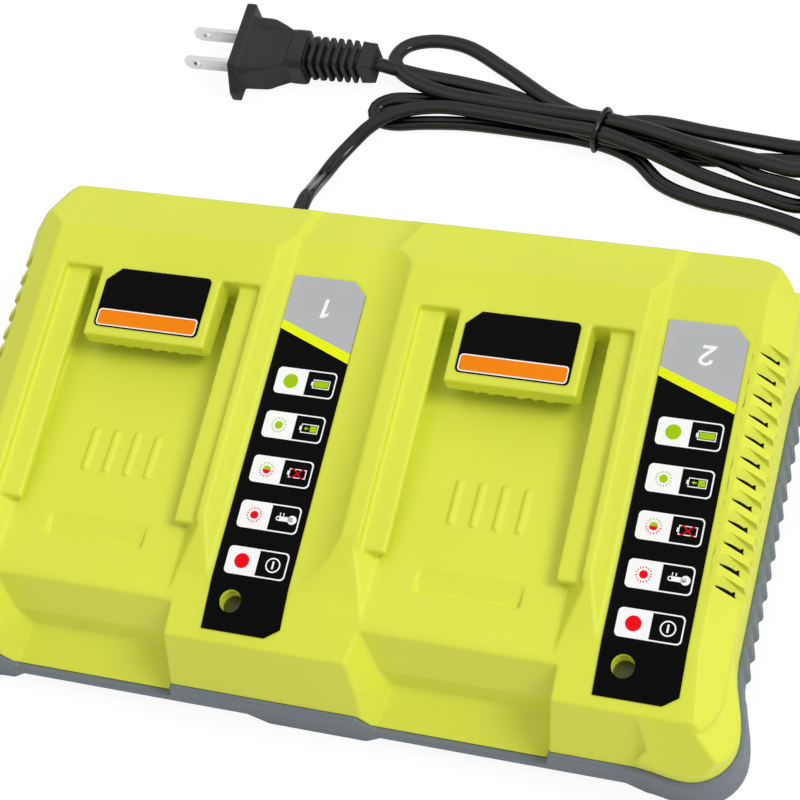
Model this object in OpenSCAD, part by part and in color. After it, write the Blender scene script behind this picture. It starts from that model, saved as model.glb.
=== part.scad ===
// Two-bay battery charger for garden tools: a sloping cover with two slide-in
// battery bays over a dark base, with its electronics, fan, cord and plug.
// Millimetres. X runs along the front, Y towards the back, Z up from the table.

/* [Body] */
// Width over the corner bulges of the base
base_width = 269.6; // [266:0.2:274]
// Depth over the corner bulges of the base
base_depth = 165.7; // [163:0.1:169]
// How far the side walls stand back from the corner bulges of the base
side_setback = 6.2; // [5:0.1:7]
// How far the front wall stands back from the corner bulges of the base
front_setback = 2.9; // [2.4:0.1:4]
// How far the back wall stands back from the corner bulges of the base
back_setback = 1.5; // [1.2:0.1:2.5]
// Wall thickness of cover and base
wall = 2.5; // [2.2:0.1:2.8]
// How far the base stands proud of the cover all round
base_proud = 1.2; // [0.8:0.1:1.4]
// Height of the joint between base and cover
parting_z = 19.2; // [18.8:0.1:20]
// Height of the joint where the cover drops in front of each bay
apron_z = 11.4; // [11:0.1:12]
// Height of the molded feet under the base floor
foot_h = 6.4; // [6:0.1:7]
// Radius of the corner bulges of the base
ear_r = 15.2; // [14:0.1:16]
// Radius of the upright corners of the cover
corner_r = 20; // [16:0.5:24]

/* [Top surface] */
// Slope of the top, in degrees, rising towards the back
deck_tilt = 4.8; // [4:0.1:5.4]
// Height of the label troughs above the bay floors at mid depth
deck_rise = 5.9; // [5:0.1:7]
// Depth of the label troughs below the bay plateaus
trough_drop = 5.1; // [4:0.1:5.6]
// Radius of the hollow that joins the middle trough to the second bay
hollow_r = 21.8; // [20:0.1:26]
// Width of the sloped shoulder on the left side
left_shoulder = 7; // [6:0.1:8]
// Width of the sloped shoulder on the right side
right_shoulder = 7.3; // [6:0.1:8]
// Depth of both sloped shoulders
shoulder_drop = 9.5; // [8:0.1:11]

/* [Bays] */
// Height of the bay floors
bay_floor_z = 43.4; // [43:0.1:45]
// Distance between the two bay centre lines
bay_pitch = 122; // [120:0.5:124]
// How far both bays are shifted to the left of the middle
bay_shift = 11.4; // [10:0.1:12]
// Half width of each bay between its upper walls
bay_half = 34.3; // [33.5:0.1:35]
// Half width of the groove under the rails
groove_half = 29.8; // [29.6:0.1:30.6]
// Half distance between the two rails
rail_half = 26.4; // [25.8:0.1:27]
// Thickness of the rails
rail_t = 3; // [2.5:0.1:3.4]
// How far the rails lie below the plateau
rail_drop = 2.9; // [2.4:0.1:3.4]
// How far the back walls of the bays stand in front of the back wall
bay_back_inset = 38.8; // [37.8:0.1:39.8]
// How far the front ends of the rails lie behind the front wall
rail_inset = 42.8; // [41:0.1:44]
// How far the front edges of the bay floors lie behind the front wall
floor_inset = 19.3; // [18:0.1:20.4]
// Half width of the terminal block
block_half = 21; // [20:0.1:22]
// Length of the terminal block from the bay back wall
block_len = 23.7; // [21.6:0.1:25.5]
// Thickness of the terminal block slab
block_t = 5.6; // [5:0.1:6]
// Number of teeth under the terminal block
teeth = 6; // [4:2:6]
// Distance between two teeth
tooth_pitch = 4.65; // [4.5:0.05:4.8]
// Number of ribs on each bay floor
floor_ribs = 4; // [2:1:5]
// Distance between two floor ribs
rib_pitch = 7.2; // [6:0.1:8]
// Length of the floor ribs
rib_len = 14.2; // [10:0.1:18]
// Half width of the latch pocket
pocket_half = 16.5; // [14:0.1:18]

/* [Vents] */
// Number of louvre slots on each side
louvres = 12; // [8:1:12]
// Distance between two louvre slots
louvre_pitch = 6.7; // [6.4:0.1:6.9]
// Width of the slit at the bottom of each louvre
slit_w = 1.1; // [0.8:0.1:1.6]
// Number of grip ribs on each side of the base
grips = 17; // [10:1:17]
// Height of the grip ribs on the base
grip_h = 1.4; // [1:0.1:1.6]

/* [Labels] */
// Width of the status labels
label_w = 25; // [23:0.1:26]
// Thickness of the labels
label_t = 0.4; // [0.3:0.05:0.6]
// X of each status label from its bay centre line
label_x = 55.6; // [55:0.1:56]
// How far the back edge of the status labels lies in front of the back wall
label_inset = 31.3; // [29.4:0.1:33.3]
// Radius of the light openings
light_r = 3.5; // [3:0.1:3.6]
// X of each light from its bay centre line
light_x = 50.6; // [50:0.1:51.5]
// How far the lights stand behind the front wall
light_inset = 21.55; // [20.5:0.05:22.4]

/* [Inside] */
// Thickness of the circuit board
board_t = 1.6; // [1.4:0.1:1.8]
// Height of the circuit board's underside
board_z = 14.4; // [13.8:0.1:15]
// Width of the fan frame
fan_size = 30; // [28:1:31]
// Thickness of the fan frame
fan_t = 10; // [8:0.5:11]
// Number of fan blades
fan_blades = 7; // [5:1:9]
// Radius of the fan rotor shaft
fan_shaft_r = 1.5; // [1.2:0.1:2]
// Shank radius of the housing screws
screw_r = 1.5; // [1.4:0.05:1.6]
// Radius of the round part of the keyholes
keyhole_r = 4; // [3.8:0.1:4.5]
// Half distance between the two keyholes
keyhole_x = 50; // [45:1:52]
// Length of the narrow slot of the keyholes
keyhole_slot = 7; // [5:0.5:8]

/* [Hidden] */
$fn = 64;
eps = 0.01;
seat = 0.2;

half_w = base_width / 2 - side_setback;
front_y = front_setback - base_depth / 2;
back_y = base_depth / 2 - back_setback;
cover_ear_r = ear_r - base_proud;
ear_c = [base_width / 2 - ear_r, base_depth / 2 - ear_r];
bays = [-bay_shift - bay_pitch / 2, -bay_shift + bay_pitch / 2];
bay_back_y = back_y - bay_back_inset;
block_front_y = bay_back_y - block_len;
rail_front_y = front_y + rail_inset;
floor_front_y = front_y + floor_inset;
label_back_y = back_y - label_inset;
light_y = front_y + light_inset;

// Side profile of the top, measured from the front and back walls
front_lean = 8.8;
front_facet = 19;
front_facet_drop = 4.35;
front_ramp = 17.5;
back_wall_h = 23.7;
back_lean = 0.5;
edge_run = 3.3;
edge_rise = 4.5;
back_slope = 24.6;
trough_back_slope = 18.3;
front_crest_y = front_y + front_lean;
facet_y = front_crest_y + front_facet;
ramp_y = facet_y + front_ramp;
crest_y = back_y - back_slope;
back_top_z = parting_z + back_wall_h;
trough_back_y = back_y - back_lean - trough_back_slope;
trough_back_tilt = atan((deck_z(trough_back_y) - back_top_z) / trough_back_slope);
front_crest_z = deck_z(facet_y) - front_facet_drop;
facet_tilt = atan(front_facet_drop / front_facet);
light_z = facet_z(light_y);

// Cross section of the top, measured from the bay centre lines
plateau_left = 40;
plateau_right = 37;
step_run = 4.5;
left_crease = 9.2;
hollow_angle = acos(1 - trough_drop / hollow_r);
hollow_steps = 6;
reach = 30;

// Shape of the recess in front of each bay
front_wall_mid = [6, 15];
sill_top = [7, 23.5];
sill_end_y = front_y + 0.3;
rim_flare = 6.7;
recess_in_low = 22.5;
recess_out_top = 32;
recess_out_mid = 31.1;
recess_out_low = 27;
recess_right_top = 31.4;
recess_right_low = 28.8;
apron_right = 29.2;

// Height of the label troughs at a place along Y
function deck_z(y) = bay_floor_z + deck_rise + tan(deck_tilt) * y;

// Height of the bay plateaus at a place along Y
function plateau_z(y) = deck_z(y) + trough_drop;

// Height of the front facet at a place along Y
function facet_z(y) = deck_z(facet_y) - tan(facet_tilt) * (facet_y - y);

// A closed outline, drawn anticlockwise, moved inwards by t
function inset(p, t) = [
  for (i = [0 : len(p) - 1])
    let (a = p[(i + len(p) - 1) % len(p)], b = p[i], c = p[(i + 1) % len(p)])
    let (u = (b - a) / norm(b - a), v = (c - b) / norm(c - b))
    let (m = [-u[1], u[0]], n = [-v[1], v[0]])
    b + t * (m + n) / (1 + m * n)
];

// Side profile over the bays, in Y and Z
function side_profile() = [
  [front_y, -foot_h], [back_y, -foot_h], [back_y, parting_z], [back_y - back_lean, back_top_z],
  [back_y - edge_run, back_top_z + edge_rise], [crest_y, plateau_z(crest_y)],
  [ramp_y, plateau_z(ramp_y)], [facet_y, deck_z(facet_y)], [front_crest_y, front_crest_z],
  [front_y, parting_z]
];

// Cross section over both bays, in X and in height above the troughs
function top_section() = let (l = half_w - left_shoulder, r = half_w - right_shoulder) concat(
  [
    [-half_w - reach, -base_width], [half_w + reach, -base_width],
    [half_w + reach, -shoulder_drop * (1 + reach / right_shoulder)], [r, 0],
    [bays[1] + plateau_right + step_run, 0], [bays[1] + plateau_right, trough_drop]
  ],
  [
    for (i = [hollow_steps : -1 : 0])
      let (a = hollow_angle * i / hollow_steps)
      [bays[1] - plateau_left - hollow_r * (sin(hollow_angle) - sin(a)), hollow_r * (1 - cos(a))]
  ],
  [
    [bays[0] + plateau_right + step_run, 0], [bays[0] + plateau_right, trough_drop],
    [left_crease - l, trough_drop], [-l, 0],
    [-half_w - reach, -shoulder_drop * (1 + reach / left_shoulder)]
  ]
);

// A prism along X of an outline in Y and Z
module prism_x(outline, x0, x1) {
  translate([x0, 0, 0])
    rotate([90, 0, 90])
      linear_extrude(x1 - x0)
        polygon(outline);
}

// A prism along Y of an outline in X and Z
module prism_y(outline, y0, y1) {
  translate([0, y1, 0])
    rotate([90, 0, 0])
      linear_extrude(y1 - y0)
        polygon(outline);
}

// A block between two opposite corners
module block(low, high) {
  translate(low)
    cube(high - low);
}

// A pipe or rod along Z between two heights
module rod(x, y, z0, z1, r) {
  translate([x, y, z0])
    cylinder(h = z1 - z0, r = r);
}

// Rounded rectangle of the walls, grown outwards by out
module wall_plan(out) {
  depth = back_y - front_y;
  translate([-half_w - out, front_y + corner_r])
    square([2 * (half_w + out), depth - 2 * corner_r]);
  translate([corner_r - half_w, front_y - out])
    square([2 * (half_w - corner_r), depth + 2 * out]);
  for (x = [corner_r - half_w, half_w - corner_r], y = [front_y + corner_r, back_y - corner_r])
    translate([x, y])
      circle(corner_r + out);
}

ear_start = [14, 25];
ear_steps = 6;

// One corner bulge that swells smoothly out of two walls at right angles
module ear_plan(out, wall_y) {
  start = ear_start + 1.5 * min(out, 0) * [1, 1];
  side_bulge = side_setback - base_proud;
  end_bulge = base_depth / 2 - base_proud - wall_y;
  side = [
    for (i = [0 : ear_steps])
      let (s = i / ear_steps)
      [half_w + out + side_bulge * (1 - cos(180 * s)) / 2, ear_c[1] - start[1] * (1 - s)]
  ];
  end = [
    for (i = [ear_steps : -1 : 0])
      let (s = i / ear_steps)
      [ear_c[0] - start[0] * (1 - s), wall_y + out + end_bulge * (1 - cos(180 * s)) / 2]
  ];
  polygon(concat(side, end, [ear_c]));
  translate(ear_c)
    circle(cover_ear_r + out);
}

module ears_plan(out) {
  for (m = [0, 1]) {
    mirror([m, 0]) {
      ear_plan(out, back_y);
      mirror([0, 1])
        ear_plan(out, -front_y);
    }
  }
}

// Everything under the top surface, with its walls moved outwards by out
module top_envelope(out) {
  section = inset(top_section(), -out);
  top_z = plateau_z(crest_y) + wall;
  intersection() {
    linear_extrude(top_z)
      wall_plan(out);
    prism_x(inset(side_profile(), -out), -2 * half_w, 2 * half_w);
    translate([0, 0, deck_z(0)])
      rotate([deck_tilt, 0, 0])
        prism_y(section, -base_depth, base_depth);
    translate([0, trough_back_y, deck_z(trough_back_y)])
      rotate([-trough_back_tilt, 0, 0])
        prism_y(section, -base_depth, base_depth);
  }
}

ear_top_z = 22.6;

// The four corner bulges of the cover under their sloping tops
module ears_envelope(out) {
  r = half_w - right_shoulder;
  edge = ear_c[1] + cover_ear_r;
  crown = front_crest_z;
  lean = edge + front_crest_y;
  slope = shoulder_drop / right_shoulder;
  foot = ear_c[0] + cover_ear_r - r;
  section = [
    [-r - foot, 0], [r + foot, 0], [r + foot, crown - slope * foot], [r, crown], [-r, crown],
    [-r - foot, crown - slope * foot]
  ];
  profile = [
    [-edge, 0], [edge, 0], [edge, ear_top_z], [edge - lean, crown], [lean - edge, crown],
    [-edge, ear_top_z]
  ];
  intersection() {
    linear_extrude(crown)
      ears_plan(out);
    prism_y(inset(section, -out), -base_depth, base_depth);
    prism_x(inset(profile, -out), -base_width, base_width);
  }
}

// The solid left of the recess in front of a bay, whose wall splays towards the corner
module recess_wedge(out) {
  z_in = bay_floor_z;
  z_low = bay_floor_z - sill_top[1];
  y_low = floor_front_y - sill_top[0];
  far_x = -recess_out_top - reach;
  points = [
    [-groove_half, floor_front_y, z_in], [-recess_in_low, y_low, z_low],
    [-recess_out_top, front_crest_y, front_crest_z], [-recess_out_mid, front_y, parting_z],
    [-recess_out_low, sill_end_y, apron_z],
    [far_x, floor_front_y, z_in + reach], [far_x, front_y - reach, z_in + reach],
    [far_x, floor_front_y, apron_z - reach], [far_x, front_y - reach, apron_z - reach]
  ];
  translate([-out, 0, 0])
    hull()
      polyhedron(points, [[0, 1, 2, 3, 4], [5, 6, 7, 8, 0]]);
}

// The space of one bay around X = 0, with its walls and floor moved outwards by out
module bay_space(out) {
  top = bay_floor_z + reach;
  ledge = plateau_z(0) - rail_drop;
  front = [
    [floor_front_y, bay_floor_z], [floor_front_y, top], [sill_end_y - reach, top],
    [sill_end_y - reach, apron_z], [sill_end_y, apron_z],
    [floor_front_y - sill_top[0], bay_floor_z - sill_top[1]],
    [floor_front_y - front_wall_mid[0], bay_floor_z - front_wall_mid[1]]
  ];
  flare = [
    [-groove_half - out, bay_floor_z - out], [groove_half + out, bay_floor_z - out],
    [groove_half + out, bay_floor_z], [groove_half + rim_flare + out, plateau_z(rail_front_y)],
    [groove_half + rim_flare + out, top], [-groove_half - rim_flare - out, top],
    [-groove_half - rim_flare - out, plateau_z(rail_front_y)], [-groove_half - out, bay_floor_z]
  ];
  right_slope = (recess_right_top - recess_right_low) / (bay_floor_z - apron_z);
  front_section = [
    [-recess_out_top - wall, apron_z - reach], [recess_right_low - right_slope * reach, apron_z - reach],
    [recess_right_top + right_slope * reach, top], [-recess_out_top - wall, top]
  ];
  // Floor between the rails, the groove under them and the ledge above them
  block([-rail_half - out, floor_front_y, bay_floor_z - out], [rail_half + out, bay_back_y + out, top]);
  intersection() {
    block(
      [-groove_half - out, floor_front_y, bay_floor_z - out],
      [groove_half + out, bay_back_y + out, top]
    );
    translate([0, 0, ledge - rail_t])
      rotate([deck_tilt, 0, 0])
        block([-base_depth, -base_depth, -2 * reach], [base_depth, base_depth, 0]);
  }
  intersection() {
    block([-bay_half - out, rail_front_y - reach, bay_floor_z], [bay_half + out, bay_back_y + out, top]);
    translate([0, 0, ledge - out])
      rotate([deck_tilt, 0, 0])
        block([-base_depth, -base_depth, 0], [base_depth, base_depth, 2 * reach]);
  }
  prism_y(flare, floor_front_y, rail_front_y + out);
  // Recess in front of the floor
  difference() {
    intersection() {
      prism_x(inset(front, -out), -2 * reach, 2 * reach);
      prism_y(inset(front_section, -out), front_y - reach, bay_back_y);
    }
    recess_wedge(out);
  }
}

// ---- Cover ----

louvre_first_y = bay_back_y + 1.35;
louvre_run = 3.2;
louvre_h = 17.6;
louvre_lean = 24;
louvre_depth = 0.7;
sleeve_wall = 1.3;
sleeve_len = 11;
post_r = 3.5;
post_z = parting_z + 0.8;
screw_len = 20;
screw_head_z = foot_h + 2;
screw_head_h = 2.2;
screw_head_r = 2.8;
post_inset = [10.6, 13.95, 11.35];
screws = [
  for (y = [front_y + post_inset[1], back_y - post_inset[2]])
    for (x = [post_inset[0] - half_w, -bay_shift, half_w - post_inset[0]])
      [x, y]
];
cord_x = -48;
cord_z = 24;
neck_r = 4.6;
block_under_z = plateau_z(block_front_y) - block_t;
tooth_h = 2.3;
tooth_depth = 2.2;
cheek_y = block_front_y + tooth_depth / 2;
cheek = 3.4;
holder_half = 12;
holder_z = [bay_floor_z + 1.6, block_under_z + 0.6];
pocket_y = [-45.95, -37.85];
pocket_depth = 1.9;
rib_h = 0.8;
rib_w = 1.4;
rib_back_y = -8.35;

// The sloping wedge and slit of one louvre at the shoulder of the right side
module louvre(y) {
  top = [half_w - right_shoulder, deck_z(y) + eps];
  wedge = [
    [-louvre_depth, y - slit_w], [2 * wall, y - slit_w], [2 * wall, y + louvre_run],
    [louvre_depth, y + louvre_run], [-louvre_depth, y]
  ];
  translate([top[0], 0, top[1]])
    rotate([0, -louvre_lean, 0]) {
      translate([0, 0, -louvre_h])
        linear_extrude(louvre_h)
          polygon(wedge);
      block([-2 * wall, y - slit_w, -louvre_h * 0.85], [wall, y, -louvre_h * 0.12]);
    }
}

module louvres_right() {
  for (i = [0 : louvres - 1])
    louvre(louvre_first_y - i * louvre_pitch);
}

// The terminal block with its teeth, its two cheeks and its open front
module terminal_block() {
  intersection() {
    union() {
      block([-block_half, block_front_y, block_under_z], [block_half, bay_back_y + eps, 2 * bay_floor_z]);
      for (s = [-1, 1])
        block(
          [s < 0 ? -block_half : block_half - cheek, cheek_y, block_under_z - tooth_h],
          [s < 0 ? cheek - block_half : block_half, bay_back_y + eps, block_under_z + eps]
        );
      for (i = [0 : teeth - 1]) {
        x = (i - (teeth - 1) / 2) * tooth_pitch;
        w = i % 2 == 0 ? 1.6 : 2.8;
        block(
          [x - w / 2, block_front_y + tooth_depth / 4, block_under_z - tooth_h],
          [x + w / 2, block_front_y + tooth_depth / 4 + tooth_depth, block_under_z + eps]
        );
      }
    }
    translate([0, 0, plateau_z(0)])
      rotate([deck_tilt, 0, 0])
        block([-base_depth, -base_depth, -base_depth], [base_depth, base_depth, 0]);
  }
}

// A pilot post under the top surface
module post(p, r) {
  intersection() {
    rod(p[0], p[1], post_z, plateau_z(back_y), r);
    union() {
      top_envelope(-eps);
      ears_envelope(-eps);
    }
  }
}

module top_housing() color([0.79, 0.84, 0.16]) {
  difference() {
    union() {
      difference() {
        intersection() {
          union() {
            top_envelope(0);
            ears_envelope(0);
          }
          union() {
            block([-base_width, -base_depth, parting_z], [base_width, base_depth, 2 * bay_floor_z]);
            for (x = bays)
              translate([x, 0, 0])
                apron_space();
          }
        }
        difference() {
          intersection() {
            union() {
              top_envelope(-wall);
              ears_envelope(-wall);
            }
            block([-base_width, -base_depth, 0], [base_width, base_depth, 2 * bay_floor_z]);
          }
          for (x = bays)
            translate([x, 0, 0])
              bay_space(wall);
        }
      }
      for (p = screws)
        post(p, post_r);
      for (x = bays)
        rod(x + light_x, light_y, light_z - sleeve_len, light_z - wall, light_r + sleeve_wall);
    }
    for (x = bays)
      translate([x, 0, 0])
        difference() {
          bay_space(0);
          terminal_block();
          for (i = [0 : floor_ribs - 1]) {
            rib_x = (i - (floor_ribs - 1) / 2) * rib_pitch;
            block(
              [rib_x - rib_w / 2, rib_back_y - rib_len, bay_floor_z - eps],
              [rib_x + rib_w / 2, rib_back_y, bay_floor_z + rib_h]
            );
          }
        }
    for (x = bays)
      translate([x, 0, 0]) {
        prism_x(
          [
            [pocket_y[0], bay_floor_z - pocket_depth], [pocket_y[1], bay_floor_z],
            [pocket_y[0], bay_floor_z + 1]
          ],
          -pocket_half, pocket_half
        );
        block(
          [-holder_half, bay_back_y - eps, holder_z[0]],
          [holder_half, bay_back_y + 2 * wall, holder_z[1]]
        );
        rod(light_x, light_y, bay_floor_z - reach, bay_floor_z + reach, light_r);
      }
    for (p = screws)
      rod(p[0], p[1], 0, screw_head_z + screw_len + 1, screw_r + 0.05);
    louvres_right();
    mirror([1, 0, 0])
      louvres_right();
    translate([cord_x, back_y + wall, cord_z])
      rotate([90, 0, 0])
        cylinder(h = 4 * wall, r = neck_r);
    block([cord_x - neck_r, back_y - 3 * wall, 0], [cord_x + neck_r, back_y + wall, cord_z]);
  }
}

// Where the cover reaches below the joint in front of a bay
module apron_space() {
  front = [
    [-recess_out_mid, parting_z + eps], [-recess_out_low, apron_z], [apron_right - 1.7, apron_z],
    [apron_right, parting_z + eps]
  ];
  prism_y(front, front_y - 1, facet_y);
  block(
    [-recess_out_mid - wall, front_y + wall - base_proud + seat, apron_z],
    [recess_right_top + wall, facet_y, parting_z + eps]
  );
}

// ---- Base ----

foot_side = [25, 28.5];
mid_foot = [-16.45, 16.45];
mid_foot_x = 1.65;
foot_ramp = 5.7;
foot_len = 34;
pad_h = 1.8;
pad_sink = 1;
pad_r = 5;
pad_inset = [14, 28, 20];
boss_r = 4.6;
head_bore_r = 3.3;
tongue = [1.2, 1.8];
tongue_gap = 0.15;
board_inset = [[20.6, 23.6], [18.95, 19.35]];
screw_inset = [5, 9];
board_x = [board_inset[0][0] - half_w, half_w - board_inset[0][1]];
board_y = [front_y + board_inset[1][0], back_y - board_inset[1][1]];
board_screws_xy = [
  for (x = [board_x[0] + screw_inset[0], -bay_shift, board_x[1] - screw_inset[0]])
    each [[x, board_y[0] + screw_inset[x > bays[1] ? 1 : 0]], [x, board_y[1] - screw_inset[0]]]
];
board_screw_r = 1.25;
board_screw_len = 6;
board_head = [1.8, 2.4];
grip_inset = 12;
grip_first_y = back_y - grip_inset;
grip_tooth = [5, 6.1, 6.4];
tongue_half = 35;
board_post_r = 3;
bore_gap = 0.15;
pad_gap = 0.1;
air_slot = [2.5, 20];
air_slot_pitch = 5;
air_slot_y = -25;
pads = [
  for (s = [-1, 1])
    each [
      [pad_inset[0] - base_width / 2, s * (base_depth / 2 - pad_inset[1])],
      [mid_foot_x, s * (base_depth / 2 - pad_inset[2])],
      [base_width / 2 - pad_inset[0], s * (base_depth / 2 - pad_inset[1])]
    ]
];

// Outline of the base, grown outwards by out from the cover
module base_plan(out) {
  wall_plan(out);
  ears_plan(out);
}

// Outline in X and Z of the feet, moved inwards by t
module feet_profile(t) {
  w = base_width;
  lap = t > 0 ? 0.1 : 0;
  left = [
    [-w, pad_h - pad_sink + t], [foot_side[0] + 6 - w / 2 - t, pad_h - pad_sink + t],
    [foot_side[0] + 6 + foot_ramp - w / 2 - t, foot_h + t + lap], [-w, foot_h + t + lap]
  ];
  right = [
    [w, pad_h - pad_sink + t], [w, foot_h + t + lap],
    [w / 2 - foot_side[1] - foot_ramp + t, foot_h + t + lap],
    [w / 2 - foot_side[1] + t, pad_h - pad_sink + t]
  ];
  mid = [
    [mid_foot_x + mid_foot[0] + t, pad_h - pad_sink + t],
    [mid_foot_x + mid_foot[1] - t, pad_h - pad_sink + t],
    [mid_foot_x + mid_foot[1] + foot_ramp - t, foot_h + t + lap],
    [mid_foot_x + mid_foot[0] - foot_ramp + t, foot_h + t + lap]
  ];
  for (outline = [left, mid, right])
    prism_y(outline, -base_depth, base_depth);
}

// The six feet, hollow from above, with their walls moved inwards by t
module feet(t) {
  intersection() {
    linear_extrude(foot_h + 2 * t + 1)
      base_plan(base_proud - t);
    feet_profile(t);
    for (s = [-1, 1])
      block(
        [-base_width, s < 0 ? -base_depth : base_depth / 2 - foot_len + t, 0],
        [base_width, s < 0 ? foot_len - t - base_depth / 2 : base_depth, foot_h + 2 * t + 1]
      );
  }
}

// A keyhole for hanging the charger on two wall screws
module keyhole() {
  slot_r = keyhole_r / 2;
  rod(0, 0, 0, 2 * foot_h, keyhole_r);
  rod(0, keyhole_slot, 0, 2 * foot_h, slot_r);
  block([-slot_r, 0, 0], [slot_r, keyhole_slot, 2 * foot_h]);
}

module bottom_housing() color([0.36, 0.39, 0.41]) {
  inner = base_proud - wall;
  difference() {
    union() {
      difference() {
        union() {
          translate([0, 0, foot_h])
            linear_extrude(parting_z - foot_h)
              base_plan(base_proud);
          feet(0);
          for (s = [0, 1])
            mirror([s, 0, 0])
              grip_ribs();
        }
        translate([0, 0, foot_h + wall])
          linear_extrude(parting_z)
            base_plan(inner);
        feet(wall);
        for (x = bays)
          translate([x, 0, 0])
            apron_gap();
      }
      for (p = screws)
        rod(p[0], p[1], pad_h - pad_sink, post_z, boss_r);
      for (p = board_screws_xy)
        rod(p[0], p[1], abs(p[0] - mid_foot_x) < mid_foot[1] ? pad_h : foot_h + eps, board_z, board_post_r);
      tongues();
      fan_cradle();
    }
    for (p = screws) {
      rod(p[0], p[1], 0, screw_head_z, head_bore_r);
      rod(p[0], p[1], 0, parting_z + wall, screw_r + bore_gap);
    }
    for (p = board_screws_xy)
      rod(p[0], p[1], board_z - board_screw_len, board_z + 1, board_screw_r + bore_gap / 3);
    for (p = pads)
      rod(p[0], p[1], 0, pad_h, pad_r + pad_gap);
    for (s = [-1, 1])
      translate([s * keyhole_x, 0, 0])
        keyhole();
    for (i = [-3 : 3], s = [-1, 1]) {
      x = s * keyhole_x / 2 + i * air_slot_pitch;
      block(
        [x - air_slot[0] / 2, air_slot_y - air_slot[1] / 2, 0],
        [x + air_slot[0] / 2, air_slot_y + air_slot[1] / 2, foot_h + 2 * wall]
      );
    }
  }
}

// Room for the cover's apron in the front wall of the base
module apron_gap() {
  front = [
    [-recess_out_mid, parting_z], [-recess_out_low, apron_z], [apron_right - 1.7, apron_z],
    [apron_right, parting_z], [apron_right, parting_z + wall], [-recess_out_mid, parting_z + wall]
  ];
  prism_y(front, -base_depth, front_y + 2 * wall);
}

// Saw-tooth grip ribs along the right side of the base
module grip_ribs() {
  x = half_w + base_proud;
  for (i = [0 : grips - 1]) {
    y = grip_first_y - i * louvre_pitch;
    translate([0, 0, foot_h])
      linear_extrude(parting_z - foot_h)
        polygon([
          [x - 1, y], [x, y], [x + grip_h, y - grip_tooth[0]], [x + 0.7 * grip_h, y - grip_tooth[1]],
          [x, y - grip_tooth[2]], [x - 1, y - grip_tooth[2]]
        ]);
  }
}

// Two low ribs that centre the cover on the base
module tongues() {
  for (s = [-1, 1]) {
    x = s * (half_w - wall - tongue_gap);
    block(
      [min(x, x - s * tongue[0]), -tongue_half, foot_h + eps],
      [max(x, x - s * tongue[0]), tongue_half, parting_z + tongue[1]]
    );
    block(
      [min(x, s * (half_w + base_proud - wall + eps)), -tongue_half, foot_h + eps],
      [max(x, s * (half_w + base_proud - wall + eps)), tongue_half, parting_z]
    );
  }
}

// ---- Labels ----

label_front_inset = 12.35;
label_front_y = front_y + label_front_inset;
label_cut = 4.5;
plate_half = 18;
plate_front_y = 21.9;
plate_cut = 3;

// A sheet of the label's thickness on a slope, cut from an outline in X and Y
module sheet_on(y, z, tilt, thickness) {
  translate([0, y, z])
    rotate([tilt, 0, 0])
      linear_extrude(thickness)
        children();
}

module status_label(x) {
  half = label_w / 2;
  front_len = (facet_y - label_front_y) / cos(facet_tilt);
  deck_len = (label_back_y - facet_y) / cos(deck_tilt);
  difference() {
    translate([x + label_x, 0, 0]) {
      sheet_on(facet_y, deck_z(facet_y), deck_tilt, label_t)
        polygon([
          [-half, 0], [half, 0], [half, deck_len - label_cut], [half - label_cut, deck_len], [-half, deck_len]
        ]);
      sheet_on(facet_y, deck_z(facet_y), facet_tilt, label_t)
        polygon([
          [-half, 0], [-half, -front_len], [half - label_cut, -front_len],
          [half, label_cut * 0.7 - front_len], [half, 0]
        ]);
    }
    rod(x + light_x, light_y, 0, 2 * bay_floor_z, light_r);
  }
}

module status_label_left() color([0.05, 0.05, 0.05])
  status_label(bays[0]);

module status_label_right() color([0.05, 0.05, 0.05])
  status_label(bays[1]);

module block_plate(x) {
  depth = (bay_back_y - plate_front_y) / cos(deck_tilt);
  translate([x, 0, 0])
    sheet_on(plate_front_y, plateau_z(plate_front_y), deck_tilt, label_t)
      polygon([
        [-plate_half, 0], [plate_half, 0], [plate_half, depth], [plate_cut - plate_half, depth],
        [-plate_half, depth - plate_cut]
      ]);
}

module block_plate_left() color([0.05, 0.05, 0.05])
  block_plate(bays[0]);

module block_plate_right() color([0.05, 0.05, 0.05])
  block_plate(bays[1]);

// ---- Lights ----

led_h = 1.6;
led_w = 5;
pipe_drop = 4.2;
pipe_gap = 0.1;
board_top = board_z + board_t;

module led(x) {
  block(
    [x + light_x - led_w / 2, light_y - led_w / 2, board_top],
    [x + light_x + led_w / 2, light_y + led_w / 2, board_top + led_h]
  );
}

module led_left() color([0.9, 0.9, 0.85])
  led(bays[0]);

module led_right() color([0.9, 0.9, 0.85])
  led(bays[1]);

module light_pipe(x) {
  rod(x + light_x, light_y, board_top + led_h, light_z - pipe_drop, light_r - pipe_gap);
}

module light_pipe_left() color([0.2, 0.22, 0.02])
  light_pipe(bays[0]);

module light_pipe_right() color([0.2, 0.22, 0.02])
  light_pipe(bays[1]);

// ---- Terminals ----

blade_t = 0.8;
blade_gap = 0.18;
blade_count = 5;
blade_front_y = block_front_y + 5;
holder_t = 8;
holder_rim = 1;
holder_back_y = bay_back_y + wall + holder_t;
tail_y = [holder_back_y - 4, holder_back_y - 2];
tail_len = 1;
tail_gap = 0.1;
blade_z = bay_floor_z + 2.2;

module terminal_holder(x) {
  difference() {
    translate([x, 0, 0]) {
      block(
        [seat - holder_half, bay_back_y, holder_z[0] + seat],
        [holder_half - seat, bay_back_y + wall + eps, holder_z[1] - seat]
      );
      block(
        [-plate_half, bay_back_y + wall, bay_floor_z - holder_rim],
        [plate_half, holder_back_y, holder_z[1] + holder_rim]
      );
    }
    blades(x);
  }
}

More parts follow.
